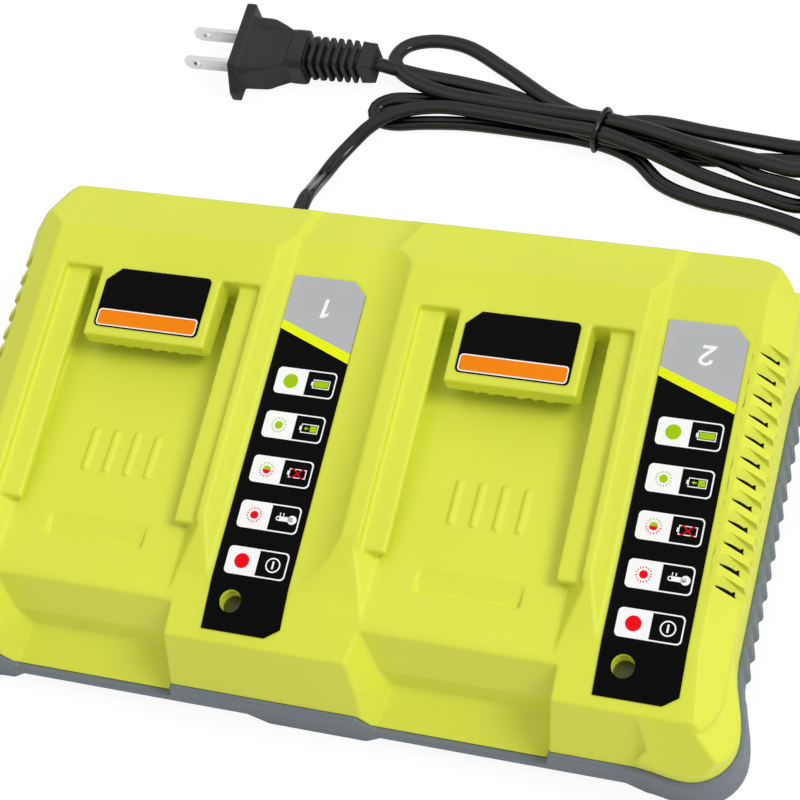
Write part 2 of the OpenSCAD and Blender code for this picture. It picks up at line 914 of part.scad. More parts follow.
// One row of contact blades with their tails down to the circuit board
module blades(x) {
  for (i = [0 : blade_count - 1]) {
    cx = x + (i - (blade_count - 1) / 2) * tooth_pitch;
    block(
      [cx - blade_t / 2, blade_front_y, blade_z],
      [cx + blade_t / 2, tail_y[1], block_under_z - blade_gap]
    );
    block(
      [cx - blade_t / 2, tail_y[0], board_z - tail_len],
      [cx + blade_t / 2, tail_y[1], blade_z + eps]
    );
  }
}

module terminal_holder_left() color([0.08, 0.08, 0.08])
  terminal_holder(bays[0]);

module terminal_holder_right() color([0.08, 0.08, 0.08])
  terminal_holder(bays[1]);

module contacts_left() color([0.75, 0.7, 0.55])
  blades(bays[0]);

module contacts_right() color([0.75, 0.7, 0.55])
  blades(bays[1]);

// ---- Circuit board and what stands on it ----

core = [34, 30, 21];
core_leg = 6;
core_post_r = 5;
coil_r = 12;
coil_gap = 0.1;
bulk_r = 8;
bulk_h = 21;
bulk_pitch = 19.2;
bulk_inset = 34;
out_r = 5;
out_h = 16;
out_pitch = 12;
out_place = [15, 30];
sink = [42, 3, 19];
sink_y = -36;
sink_fins = 7;
sink_fin = [2, 9];
transistor = [10, 4.5, 15];
transistor_x = 11;
choke_r = 11;
choke_hole_r = 5.5;
choke_h = 18;
choke_web = 2;
choke_place = [-22, 26];
film_box = [18, 10, 15];
film_place = [-2, 20];
fuse_r = 2.6;
fuse_len = 20;
fuse_rise = 3.2;
fuse_clip = [4, 6];
fuse_place = [-30, 50];
bridge = [22, 4, 15];
bridge_place = [-10, 0];
post_gap = 0.5;

module main_board() color([0.1, 0.35, 0.15]) {
  difference() {
    block([board_x[0], board_y[0], board_z], [board_x[1], board_y[1], board_top]);
    for (p = screws)
      rod(p[0], p[1], 0, parting_z, boss_r + post_gap);
    for (p = board_screws_xy)
      rod(p[0], p[1], 0, parting_z, board_screw_r + bore_gap);
    for (x = bays, i = [0 : blade_count - 1]) {
      cx = x + (i - (blade_count - 1) / 2) * tooth_pitch;
      block(
        [cx - blade_t / 2 - tail_gap, tail_y[0] - tail_gap, 0],
        [cx + blade_t / 2 + tail_gap, tail_y[1] + tail_gap, parting_z]
      );
    }
  }
}

// Two E-shaped ferrite halves around an upright middle leg
module transformer_core(x) {
  yoke = core_leg / 2;
  difference() {
    block([x - core[0] / 2, -core[1] / 2, board_top], [x + core[0] / 2, core[1] / 2, board_top + core[2]]);
    block(
      [x - core[0] / 2 - 1, core_leg - core[1] / 2, board_top + yoke],
      [x + core[0] / 2 + 1, core[1] / 2 - core_leg, board_top + core[2] - yoke]
    );
  }
  rod(x, 0, board_top + yoke - eps, board_top + core[2] - yoke + eps, core_post_r);
}

module transformer_coil(x) {
  yoke = core_leg / 2;
  window = core[1] / 2 - core_leg - seat;
  difference() {
    intersection() {
      rod(x, 0, board_top + yoke + coil_gap, board_top + core[2] - yoke - coil_gap, coil_r);
      block([x - core[0], -window, 0], [x + core[0], window, 2 * core[2] + board_top]);
    }
    rod(x, 0, 0, 2 * bay_floor_z, core_post_r + coil_gap / 2);
  }
}

module transformer_core_left() color([0.15, 0.15, 0.16])
  transformer_core(bays[0]);

module transformer_core_right() color([0.15, 0.15, 0.16])
  transformer_core(bays[1]);

module transformer_coil_left() color([0.85, 0.7, 0.2])
  transformer_coil(bays[0]);

module transformer_coil_right() color([0.85, 0.7, 0.2])
  transformer_coil(bays[1]);

module bulk_capacitors() color([0.12, 0.12, 0.2])
  for (i = [0 : 2])
    rod((i - 1) * bulk_pitch - bay_shift, board_y[0] + bulk_inset, board_top, board_top + bulk_h, bulk_r);

module output_capacitors() color([0.12, 0.12, 0.2])
  for (x = bays, i = [-0.5, 0.5])
    rod(x + out_place[0] + i * out_pitch, out_place[1], board_top, board_top + out_h, out_r);

// A finned aluminium bar that stands across the board
module heat_sink(x) {
  fin_pitch = (sink[0] - sink_fin[0]) / (sink_fins - 1);
  block([x - sink[0] / 2, sink_y, board_top], [x + sink[0] / 2, sink_y + sink[1], board_top + sink[2]]);
  for (i = [0 : sink_fins - 1])
    translate([x - sink[0] / 2 + i * fin_pitch, sink_y + sink[1] - eps, board_top])
      cube([sink_fin[0], sink_fin[1], sink[2]]);
}

module heat_sink_left() color([0.75, 0.76, 0.78])
  heat_sink(bays[0]);

module heat_sink_right() color([0.75, 0.76, 0.78])
  heat_sink(bays[1]);

module power_transistors() color([0.08, 0.08, 0.08])
  for (x = bays, s = [-1, 1])
    translate([x + s * transistor_x - transistor[0] / 2, sink_y - transistor[1], board_top])
      cube(transistor);

module line_choke() color([0.7, 0.35, 0.1]) {
  translate([choke_place[0] - bay_shift, choke_place[1], board_top])
    difference() {
      cylinder(h = choke_h, r = choke_r);
      translate([0, 0, choke_web])
        cylinder(h = choke_h, r = choke_hole_r);
    }
}

module line_capacitor() color([0.9, 0.75, 0.1])
  translate([film_place[0] - bay_shift, film_place[1], board_top])
    cube(film_box);

module fuse() color([0.85, 0.85, 0.8]) {
  translate([fuse_place[0] - bay_shift, fuse_place[1], board_top]) {
    translate([0, 0, fuse_rise])
      rotate([0, 90, 0])
        cylinder(h = fuse_len, r = fuse_r);
    for (x = [0, fuse_len - fuse_clip[0]])
      translate([x, -fuse_clip[1] / 2, 0])
        cube([fuse_clip[0], fuse_clip[1], fuse_rise]);
  }
}

module rectifier() color([0.1, 0.1, 0.1])
  translate([bridge_place[0] - bay_shift, bridge_place[1], board_top])
    cube(bridge);

// ---- Fan ----

fan_inset = 20.2;
fan_x = half_w - fan_inset;
fan_y = -4;
cradle_floor = 1;
cradle_arm = [4, 12];
fan_rim = 1.4;
fan_lift = 0.2;
fan_z = foot_h + wall + cradle_floor + fan_lift + fan_size / 2;
fan_bore = fan_size / 2 - fan_rim;
hub_r = 6.5;
strut = [2, 1.5];
shaft_gap = 0.05;
shaft_len = 3;
hub_z = [2, 9.4];
blade_zone = [2.4, 9];
vane = [10, 1];
vane_tilt = 35;
vane_gap = 0.8;

module fan_cradle() {
  arm_y = fan_size / 2 - 3;
  for (s = [-1, 1], x = [fan_x - seat - wall, fan_x + fan_t + seat])
    block(
      [x, fan_y + s * arm_y - cradle_arm[0] / 2, foot_h + eps],
      [x + wall, fan_y + s * arm_y + cradle_arm[0] / 2, foot_h + wall + cradle_arm[1]]
    );
  block(
    [fan_x - seat - eps, fan_y - fan_size / 2, foot_h + eps],
    [fan_x + fan_t + seat + eps, fan_y + fan_size / 2, foot_h + wall + cradle_floor]
  );
}

module fan_frame() color([0.1, 0.1, 0.1]) {
  difference() {
    block(
      [fan_x, fan_y - fan_size / 2, fan_z - fan_size / 2],
      [fan_x + fan_t, fan_y + fan_size / 2, fan_z + fan_size / 2]
    );
    translate([fan_x, fan_y, fan_z])
      rotate([0, 90, 0]) {
        translate([0, 0, strut[1]])
          cylinder(h = fan_t, r = fan_bore);
        translate([0, 0, -eps])
          difference() {
            cylinder(h = strut[1] + 2 * eps, r = fan_bore);
            translate([0, 0, -eps])
              cylinder(h = strut[1] + 4 * eps, r = hub_r);
            for (a = [0 : 90 : 270])
              rotate([0, 0, a])
                translate([0, -strut[0] / 2, -eps])
                  cube([fan_size, strut[0], strut[1] + 4 * eps]);
          }
        translate([0, 0, -eps])
          cylinder(h = fan_t, r = fan_shaft_r + shaft_gap);
      }
  }
}

module fan_rotor() color([0.13, 0.13, 0.14]) {
  translate([fan_x, fan_y, fan_z])
    rotate([0, 90, 0]) {
      translate([0, 0, fan_lift])
        cylinder(h = shaft_len, r = fan_shaft_r);
      translate([0, 0, hub_z[0]])
        cylinder(h = hub_z[1] - hub_z[0], r = hub_r);
      intersection() {
        translate([0, 0, blade_zone[0]])
          cylinder(h = blade_zone[1] - blade_zone[0], r = fan_bore - vane_gap);
        for (i = [0 : fan_blades - 1])
          rotate([0, 0, i * 360 / fan_blades])
            translate([hub_r - 1, 0, (blade_zone[0] + blade_zone[1]) / 2])
              rotate([vane_tilt, 0, 0])
                translate([0, -vane[0] / 2, -vane[1] / 2])
                  cube([fan_size, vane[0], vane[1]]);
      }
    }
}

// ---- Fasteners and feet ----

module housing_screws() color([0.3, 0.3, 0.32])
  for (p = screws) {
    rod(p[0], p[1], screw_head_z - screw_head_h, screw_head_z, screw_head_r);
    rod(p[0], p[1], screw_head_z - eps, screw_head_z + screw_len, screw_r);
  }

module board_screws() color([0.6, 0.6, 0.62])
  for (p = board_screws_xy) {
    rod(p[0], p[1], board_top, board_top + board_head[0], board_head[1]);
    rod(p[0], p[1], board_top + board_head[0] - board_screw_len, board_top + eps, board_screw_r);
  }

module rubber_feet() color([0.1, 0.1, 0.1])
  for (p = pads)
    rod(p[0], p[1], 0, pad_h, pad_r);

// ---- Cord ----

cord_w = 5.4;
grommet_end_y = 90;

module cord_grommet() color([0.06, 0.06, 0.06]) {
  inside_y = back_y - back_lean - wall;
  rim_y = back_y + base_proud + seat;
  translate([cord_x, 0, cord_z])
    rotate([-90, 0, 0])
      difference() {
        union() {
          rod(0, 0, inside_y - 1.6, inside_y - 0.1, neck_r + 1.4);
          rod(0, 0, inside_y - 1, rim_y + eps, neck_r - seat / 2);
          block(
            [seat / 2 - neck_r, 0, inside_y - 1],
            [neck_r - seat / 2, cord_z - parting_z - 0.05, back_y - back_lean]
          );
          translate([0, 0, rim_y])
            cylinder(h = grommet_end_y - rim_y, r1 = neck_r + 1, r2 = neck_r - 1);
        }
        rod(0, 0, inside_y - 2 * wall, grommet_end_y + 1, cord_w / 2);
      }
}

lead_r = 1.3;
lead_side = 1.4;
lead_len = 12;
lead_end_gap = 1.6;

// Two insulated wires from the cord to the circuit board
module mains_leads() color([0.8, 0.8, 0.8])
  for (s = [-1, 1]) {
    x = cord_x + s * lead_side;
    y = back_y - back_lean - wall - lead_len;
    translate([x, y, cord_z])
      rotate([-90, 0, 0])
        cylinder(h = lead_len - lead_end_gap - eps, r = lead_r);
    translate([x, y, cord_z])
      sphere(lead_r);
    rod(x, y, board_top, cord_z, lead_r);
  }

// Route of the cord from the back wall to the bundle: X, Y, Z
cord_route = [
  [-48, grommet_end_y, 24], [-48, 97, 22.5], [-49, 104, 17], [-50.5, 111, 10.5], [-51, 118, 5.5],
  [-49.5, 126, 3], [-45.5, 134, 2.8], [-38, 143, 3.2]
];
tube_sides = 10;
bundle_h = 10.5;
bundle_left = [-24, 166, 19.4];
bundle_fold = [-31, 153.5, 12.4];
bundle_waist = [42.5, 148, 10.5];
bundle_right = [146, 131, 23];
tie_t = 1.2;
tie_w = 2.4;

// Points of a ring of the tube around route point i
function ring(i) =
  let (a = cord_route[max(i - 1, 0)], b = cord_route[min(i + 1, len(cord_route) - 1)])
  let (along = (b - a) / norm(b - a), side = cross(along, [0, 0, 1]) / norm(cross(along, [0, 0, 1])))
  let (up = cross(side, along))
  [
    for (k = [0 : tube_sides - 1])
      cord_route[i] + cord_w / 2 * (cos(360 * k / tube_sides) * side + sin(360 * k / tube_sides) * up)
  ];

module power_cord() color([0.06, 0.06, 0.06]) {
  n = len(cord_route);
  points = [for (i = [0 : n - 1]) each ring(i)];
  sides = [
    for (i = [0 : n - 2], k = [0 : tube_sides - 1])
      let (next = (k + 1) % tube_sides)
      [i * tube_sides + k, i * tube_sides + next, (i + 1) * tube_sides + next, (i + 1) * tube_sides + k]
  ];
  first = [for (k = [tube_sides - 1 : -1 : 0]) k];
  last = [for (k = [0 : tube_sides - 1]) (n - 1) * tube_sides + k];
  polyhedron(points, concat(sides, [first, last]));
}

// The outline of two circles, given as X, Y and radius, and what lies between them
module belt(a, b) {
  hull() {
    translate([a[0], a[1]])
      circle(a[2]);
    translate([b[0], b[1]])
      circle(b[2]);
  }
}

module bundle_plan() {
  belt(bundle_left, bundle_fold);
  belt(bundle_left, bundle_waist);
  belt(bundle_fold, bundle_waist);
  belt(bundle_waist, bundle_right);
}

module cord_hank() color([0.06, 0.06, 0.06])
  linear_extrude(bundle_h)
    bundle_plan();

// A strap around the waist of the bundle
module cord_tie() color([0.04, 0.04, 0.04]) {
  half = bundle_waist[2];
  translate([bundle_waist[0], bundle_waist[1], 0])
    rotate([0, 0, -9])
      difference() {
        block([-tie_w / 2, -half - tie_t - 1, 0], [tie_w / 2, half + tie_t + 1, bundle_h + tie_t]);
        block([-tie_w, -half - 1, -1], [tie_w, half + 1, bundle_h]);
      }
}

// ---- Plug ----

plug_y = 165;
plug_z = 7.3;
flange_x = -97.5;
flange_t = 4;
flange_half = [16.8, 7.2];
flange_cut = [6, 10];
body_half = [13, 6.6];
shoulder_half = [11.4, 6.6];
plug_dish = [2.5, 7.5, 0.5];
neck_half = [7.4, 6.2];
collar_x = -76;
collar_t = 6;
collar_half = [8.4, 7.2];
relief_half = [7, 6.4];
relief_end_x = -44;
relief_end_half = [5.4, 4.8];
rings = 7;
ring_gap = 1.5;
ring_core = 0.55;
blade_spacing = 12.7;
blade_size = [19.5, 1.5, 6.35];
blade_root = 12;

// An eight-sided section, cut back at its corners, run along X
module eight_sided(half, cut, x0, x1) {
  prism_x(
    [
      for (s = [-1, 1])
        each [
          [s * half[0], s * (cut - half[1])], [s * half[0], s * (half[1] - cut)],
          [s * (half[0] - cut), s * half[1]], [s * (cut - half[0]), s * half[1]]
        ]
    ],
    x0, x1
  );
}

// A taper in plan and in side view from one pair of half sizes to another
module taper(x0, half0, x1, half1) {
  intersection() {
    translate([0, 0, -flange_half[0]])
      linear_extrude(2 * flange_half[0])
        polygon([[x0, -half0[0]], [x1, -half1[0]], [x1, half1[0]], [x0, half0[0]]]);
    rotate([90, 0, 0])
      translate([0, 0, -flange_half[0]])
        linear_extrude(2 * flange_half[0])
          polygon([[x0, -half0[1]], [x1, -half1[1]], [x1, half1[1]], [x0, half0[1]]]);
  }
}

module plug_body() color([0.1, 0.1, 0.1]) {
  back = flange_x + flange_t;
  shoulder = (back + collar_x) / 2 + 0.3;
  translate([0, plug_y, plug_z])
    difference() {
      union() {
        prism_x(
          [
            [-flange_half[0], -flange_half[1]], [flange_half[0], -flange_half[1]], flange_half,
            [flange_cut[0] - flange_half[0], flange_half[1]],
            [-flange_half[0], flange_half[1] - flange_cut[1]]
          ],
          flange_x, back
        );
        intersection() {
          eight_sided(body_half, 2, back - eps, collar_x + eps);
          union() {
            taper(back - eps, body_half, shoulder, shoulder_half);
            taper(shoulder - eps, shoulder_half, collar_x + eps, neck_half);
          }
        }
        eight_sided(collar_half, 2, collar_x, collar_x + collar_t);
      }
      for (s = [-1, 1])
        block(
          [flange_x - 1, s * blade_spacing / 2 - blade_size[1] / 2, -blade_size[2] / 2],
          [flange_x + blade_root, s * blade_spacing / 2 + blade_size[1] / 2, blade_size[2] / 2]
        );
      block(
        [back + plug_dish[0], -plug_dish[1], body_half[1] - plug_dish[2]],
        [collar_x - 2 * plug_dish[0], plug_dish[1], body_half[1] + 1]
      );
    }
}

module plug_relief() color([0.1, 0.1, 0.1]) {
  start = collar_x + collar_t;
  pitch = (relief_end_x - start - 4.5) / rings;
  translate([0, plug_y, plug_z])
    difference() {
      intersection() {
        eight_sided(relief_half, 2.4, start, relief_end_x);
        taper(start, relief_half, relief_end_x, relief_end_half);
      }
      for (i = [0 : rings - 1]) {
        x = start + 0.6 + i * pitch;
        difference() {
          block(
            [x, -2 * relief_half[0], -2 * relief_half[0]],
            [x + ring_gap, 2 * relief_half[0], 2 * relief_half[0]]
          );
          eight_sided(ring_core * relief_half, 1, x - 1, x + ring_gap + 1);
        }
      }
    }
}

module plug_blades() color([0.8, 0.8, 0.8]) {
  tip = flange_x - blade_size[0];
  corner = 1.2;
  translate([0, plug_y, plug_z])
    for (s = [-1, 1]) {
      y = s * blade_spacing / 2;
      difference() {
        block(
          [tip, y - blade_size[1] / 2, -blade_size[2] / 2],
          [flange_x + blade_root, y + blade_size[1] / 2, blade_size[2] / 2]
        );
        translate([tip + 5, y - blade_size[1], 0])
          rotate([-90, 0, 0])
            cylinder(h = 2 * blade_size[1], r = 1.6);
        for (e = [-1, 1])
          translate([tip, y, e * blade_size[2] / 2])
            rotate([0, 45, 0])
              block([-corner, -2, -corner], [corner, 2, corner]);
      }
    }
}

top_housing();
bottom_housing();
status_label_left();
status_label_right();
block_plate_left();
block_plate_right();
light_pipe_left();
light_pipe_right();
led_left();
led_right();
terminal_holder_left();
terminal_holder_right();
contacts_left();
contacts_right();
main_board();
transformer_core_left();
transformer_core_right();
transformer_coil_left();
transformer_coil_right();
bulk_capacitors();
output_capacitors();
heat_sink_left();
heat_sink_right();
power_transistors();
line_choke();
line_capacitor();
fuse();
rectifier();
fan_frame();
fan_rotor();
housing_screws();
board_screws();
rubber_feet();
cord_grommet();
mains_leads();
power_cord();
cord_hank();
cord_tie();
plug_body();
plug_relief();
plug_blades();
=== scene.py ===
"""A twin-bay charger for power tool batteries, with its flat mains lead tied in a bundle behind it."""
import math

import bmesh
import bpy
import numpy as np
from mathutils import Matrix, Vector


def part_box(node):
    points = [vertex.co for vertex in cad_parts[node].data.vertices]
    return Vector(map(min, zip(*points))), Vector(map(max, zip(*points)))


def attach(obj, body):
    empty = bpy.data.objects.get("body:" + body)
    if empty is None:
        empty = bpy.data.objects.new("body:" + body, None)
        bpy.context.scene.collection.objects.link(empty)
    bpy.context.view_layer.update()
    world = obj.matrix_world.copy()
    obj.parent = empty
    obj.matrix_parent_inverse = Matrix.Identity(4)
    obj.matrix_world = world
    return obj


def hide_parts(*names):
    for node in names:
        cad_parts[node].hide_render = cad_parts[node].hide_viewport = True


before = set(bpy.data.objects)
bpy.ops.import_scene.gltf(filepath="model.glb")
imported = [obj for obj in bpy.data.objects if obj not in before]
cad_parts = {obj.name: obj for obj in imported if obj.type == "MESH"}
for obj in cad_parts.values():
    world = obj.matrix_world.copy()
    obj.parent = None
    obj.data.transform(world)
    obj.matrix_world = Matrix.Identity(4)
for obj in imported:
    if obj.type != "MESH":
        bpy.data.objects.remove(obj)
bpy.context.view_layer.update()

MM = 0.001
HOUSING = "housing"

# The main lines of the solids, in millimetres
BAY_CENTRES = {"left": -72.4, "right": 49.6}
DECK_TILT = math.radians(4.8)
DECK_Z = 49.3
PLATEAU_Z = 54.4
LABEL_T = 0.4


def deck_z(y):
    """Height of the label troughs at a place along Y."""
    return DECK_Z + math.tan(DECK_TILT) * y


def plateau_z(y):
    """Height of the bay plateaus at a place along Y."""
    return PLATEAU_Z + math.tan(DECK_TILT) * y


# ---- Camera ----

# Place in metres, direction to the camera, roll about its axis, lens and sensor in millimetres
CAMERA_PLACE = Vector((0.23158, -0.27726, 0.65543))
CAMERA_AZIMUTH = math.radians(36.73)
CAMERA_HEIGHT = math.radians(59.12)
CAMERA_ROLL = math.radians(-25.01)
CAMERA_LENS = 103.11
CAMERA_SENSOR = 36


def make_camera():
    """The camera, looking down on the charger from its front right with a tilted horizon."""
    cosine = math.cos(CAMERA_HEIGHT)
    back = Vector((
        math.sin(CAMERA_AZIMUTH) * cosine, -math.cos(CAMERA_AZIMUTH) * cosine, math.sin(CAMERA_HEIGHT)
    ))
    level = (-back).cross(Vector((0, 0, 1))).normalized()
    upright = level.cross(-back)
    right = math.cos(CAMERA_ROLL) * level + math.sin(CAMERA_ROLL) * upright
    up = -math.sin(CAMERA_ROLL) * level + math.cos(CAMERA_ROLL) * upright
    camera = bpy.data.objects.new("camera", bpy.data.cameras.new("camera"))
    camera.matrix_world = Matrix((
        (right.x, up.x, back.x, CAMERA_PLACE.x),
        (right.y, up.y, back.y, CAMERA_PLACE.y),
        (right.z, up.z, back.z, CAMERA_PLACE.z),
        (0, 0, 0, 1),
    ))
    camera.data.lens = CAMERA_LENS
    camera.data.sensor_width = CAMERA_SENSOR
    bpy.context.collection.objects.link(camera)
    bpy.context.scene.camera = camera


make_camera()

# ---- Materials ----

# Values of a noise between which a colour drifts from dark to light
DRIFT_ENDS = (0.3, 0.7)
# Noises in features per metre, and how far they move colour and gloss
PLASTIC_CLOUDS = 14
PLASTIC_SHEEN = 60
PLASTIC_SHEEN_DRIFT = 0.06
PRINT_CLOUDS = 40
PRINT_DRIFT = 0.015
PRINT_GRAIN = 5000
PRINT_RELIEF = 0.000006
METAL_SHEEN = 900
METAL_SHEEN_DRIFT = (0.07, 0.1)
METAL_GRAIN = 1500
METAL_RELIEF = 0.000008
BOARD_TRACKS = 250
BOARD_DRIFT = 0.25


def srgb(red, green, blue):
    """A colour written as 0 to 255 per channel, as the linear values that Blender takes."""
    def linear(value):
        value /= 255
        return value / 12.92 if value <= 0.04045 else ((value + 0.055) / 1.055) ** 2.4
    return (linear(red), linear(green), linear(blue), 1)


def new_material(name, colour, roughness, metallic=0.0, specular=0.5):
    """A Principled material with its node tree and shader."""
    material = bpy.data.materials.new(name)
    material.use_nodes = True
    shader = material.node_tree.nodes["Principled BSDF"]
    shader.inputs["Base Color"].default_value = colour
    shader.inputs["Roughness"].default_value = roughness
    shader.inputs["Metallic"].default_value = metallic
    shader.inputs["Specular IOR Level"].default_value = specular
    return material, material.node_tree, shader


def object_noise(tree, scale, detail=3.0, stretch=(1, 1, 1)):
    """Noise over the object's own coordinates, with scale in features per metre."""
    place = tree.nodes.new("ShaderNodeTexCoord")
    mapping = tree.nodes.new("ShaderNodeMapping")
    mapping.inputs["Scale"].default_value = stretch
    noise = tree.nodes.new("ShaderNodeTexNoise")
    noise.inputs["Scale"].default_value = scale
    noise.inputs["Detail"].default_value = detail
    tree.links.new(place.outputs["Object"], mapping.inputs["Vector"])
    tree.links.new(mapping.outputs["Vector"], noise.inputs["Vector"])
    return noise


def vary_colour(tree, shader, colour, noise, amount):
    """Lets the colour drift by a small share, lighter and darker."""
    ramp = tree.nodes.new("ShaderNodeValToRGB")
    for element, factor, place in zip(ramp.color_ramp.elements, (1 - amount, 1 + amount), DRIFT_ENDS):
        element.color = [min(1, c * factor) for c in colour[:3]] + [1]
        element.position = place
    tree.links.new(noise.outputs["Fac"], ramp.inputs["Fac"])
    tree.links.new(ramp.outputs["Color"], shader.inputs["Base Color"])


def vary_roughness(tree, shader, noise, low, high):
    """Lets the gloss drift between two values."""
    spread = tree.nodes.new("ShaderNodeMapRange")
    spread.inputs["To Min"].default_value = low
    spread.inputs["To Max"].default_value = high
    tree.links.new(noise.outputs["Fac"], spread.inputs["Value"])
    tree.links.new(spread.outputs["Result"], shader.inputs["Roughness"])


def add_bump(tree, shader, noise, strength, distance):
    """A fine relief of that depth in metres."""
    bump = tree.nodes.new("ShaderNodeBump")
    bump.inputs["Strength"].default_value = strength
    bump.inputs["Distance"].default_value = distance
    tree.links.new(noise.outputs["Fac"], bump.inputs["Height"])
    tree.links.new(bump.outputs["Normal"], shader.inputs["Normal"])


def moulded_plastic(name, colour, roughness, grain, relief, drift=0.03, specular=0.5):
    """Plastic with the fine spark-eroded grain of its mould."""
    material, tree, shader = new_material(name, colour, roughness, specular=specular)
    sheen = object_noise(tree, PLASTIC_SHEEN, detail=4)
    vary_colour(tree, shader, colour, object_noise(tree, PLASTIC_CLOUDS, detail=2), drift)
    vary_roughness(tree, shader, sheen, roughness - PLASTIC_SHEEN_DRIFT, roughness + PLASTIC_SHEEN_DRIFT)
    add_bump(tree, shader, object_noise(tree, grain, detail=2), strength=0.5, distance=relief)
    return material


def printed(name, colour, roughness=0.45, specular=0.06):
    """Ink on a label film, with a faint roller texture."""
    material, tree, shader = new_material(name, colour, roughness, specular=specular)
    vary_colour(tree, shader, colour, object_noise(tree, PRINT_CLOUDS, detail=2), PRINT_DRIFT)
    add_bump(tree, shader, object_noise(tree, PRINT_GRAIN, detail=2), strength=0.3, distance=PRINT_RELIEF)
    return material


def metal(name, colour, roughness, stretch=(1, 1, 1)):
    """Metal with fine drawn or rolled marks along its length."""
    material, tree, shader = new_material(name, colour, roughness, metallic=1.0)
    less, more = METAL_SHEEN_DRIFT
    sheen = object_noise(tree, METAL_SHEEN, 3, stretch)
    vary_roughness(tree, shader, sheen, roughness - less, roughness + more)
    add_bump(tree, shader, object_noise(tree, METAL_GRAIN, 2, stretch), strength=0.3, distance=METAL_RELIEF)
    return material


def circuit_board():
    """Green solder mask over faint copper tracks."""
    colour = srgb(28, 92, 44)
    material, tree, shader = new_material("solder_mask", colour, 0.3)
    vary_colour(tree, shader, colour, object_noise(tree, BOARD_TRACKS, 0, (1, 0.15, 1)), BOARD_DRIFT)
    return material


# Plastics: colour, roughness, grain in features per metre, relief in metres, drift of colour and specular
GREEN = moulded_plastic("green_moulding", srgb(223, 231, 66), 0.5, 3200, 0.00001)
GREY = moulded_plastic("grey_moulding", srgb(112, 120, 127), 0.55, 3200, 0.000014)
BLACK = moulded_plastic("black_moulding", srgb(26, 26, 27), 0.45, 2600, 0.00001)
VINYL = moulded_plastic("cord_vinyl", srgb(11, 11, 12), 0.2, 1800, 0.000012, 0.08, 0.5)
PLUG_VINYL = moulded_plastic("plug_vinyl", srgb(36, 36, 37), 0.45, 2400, 0.00002, 0.05, 0.35)
RUBBER = moulded_plastic("soft_rubber", srgb(30, 30, 31), 0.7, 2000, 0.00002)
# Black film of the labels and plates, also used for the painted shade seen through the louvre slits
FILM_AND_SLIT_SHADE = printed("black_film_and_slit_shade", srgb(5, 5, 6))
WHITE_INK = printed("white_ink", srgb(252, 252, 252))
BLACK_INK = printed("black_ink", srgb(5, 5, 6))
GREY_INK = printed("grey_ink", srgb(184, 186, 188))
STRIPE_INK = printed("stripe_ink", srgb(236, 246, 24))
GREEN_INK = printed("green_ink", srgb(164, 205, 8))
RED_INK = printed("red_ink", srgb(244, 8, 24))
ORANGE_INK = printed("orange_ink", srgb(248, 136, 14))
LENS = moulded_plastic("light_guide", srgb(70, 72, 10), 0.3, 900, 0.00001, 0.1)
CHIP = moulded_plastic("chip_white", srgb(228, 228, 218), 0.35, 1200, 0.000005)
SLEEVE = moulded_plastic("capacitor_sleeve", srgb(26, 28, 54), 0.3, 1500, 0.000005)
TAPE = moulded_plastic("winding_tape", srgb(222, 184, 60), 0.35, 700, 0.00002)
FERRITE = moulded_plastic("ferrite", srgb(44, 44, 47), 0.65, 1800, 0.00003)
ENAMEL = metal("enamelled_wire", srgb(190, 104, 58), 0.35)
CERAMIC = moulded_plastic("fuse_ceramic", srgb(226, 226, 214), 0.4, 1500, 0.00001)
WIRE = moulded_plastic("wire_insulation", srgb(214, 214, 214), 0.4, 1500, 0.00001)
BOX_FILM = moulded_plastic("film_box", srgb(228, 190, 40), 0.35, 1200, 0.00001)
ALUMINIUM = metal("extruded_aluminium", srgb(190, 192, 196), 0.35, (1, 0.1, 1))
TINNED = metal("tinned_contact", srgb(206, 200, 184), 0.3, (1, 0.1, 1))
STEEL = metal("zinc_screw", srgb(96, 98, 104), 0.4)
NICKEL = metal("nickel_blade", srgb(232, 232, 235), 0.24, (0.1, 1, 1))
BOARD = circuit_board()

NODE_MATERIALS = {
    "status_label": FILM_AND_SLIT_SHADE, "block_plate": FILM_AND_SLIT_SHADE, "light_pipe": LENS, "led_": CHIP, "terminal_holder": BLACK,
    "contacts": TINNED, "main_board": BOARD, "transformer_core": FERRITE, "transformer_coil": TAPE,
    "bulk_capacitors": SLEEVE, "output_capacitors": SLEEVE, "heat_sink": ALUMINIUM,
    "power_transistors": BLACK, "line_choke": ENAMEL, "line_capacitor": BOX_FILM, "fuse": CERAMIC,
    "rectifier": BLACK, "fan_frame": BLACK, "fan_rotor": BLACK, "housing_screws": STEEL,
    "board_screws": STEEL, "rubber_feet": RUBBER, "cord_grommet": PLUG_VINYL, "mains_leads": WIRE,
    "power_cord": VINYL, "cord_hank": VINYL, "cord_tie": VINYL, "plug_body": PLUG_VINYL,
    "plug_relief": PLUG_VINYL, "plug_blades": NICKEL, "top_housing": GREEN, "bottom_housing": GREY,
}


def dress_nodes():
    """Gives each CAD node its material."""
    for node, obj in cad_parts.items():
        material = next(m for key, m in NODE_MATERIALS.items() if node.startswith(key))
        obj.data.materials.clear()
        obj.data.materials.append(material)


dress_nodes()

# ---- Mesh helpers ----

# Vertices nearer than this are joined, in millimetres
WELD = 0.001
# Share of the way to its neighbours' middle that a vertex moves in one round
EASE = 0.5


def add_piece(name, mesh, material, body=HOUSING):
    """Links a mesh as a piece of the object that rides on a body."""
    piece = bpy.data.objects.new(name, mesh)
    bpy.context.collection.objects.link(piece)
    mesh.materials.clear()
    mesh.materials.append(material)
    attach(piece, body)
    return piece


def to_mesh(shape, name):
    """The mesh of a bmesh, which is freed."""
    mesh = bpy.data.meshes.new(name)
    shape.to_mesh(mesh)
    shape.free()
    return mesh


def join_rings(shape, first, second):
    """A band of faces from one closed ring of vertices to the next."""
    for k in range(len(first)):
        shape.faces.new((first[k - 1], first[k], second[k], second[k - 1]))


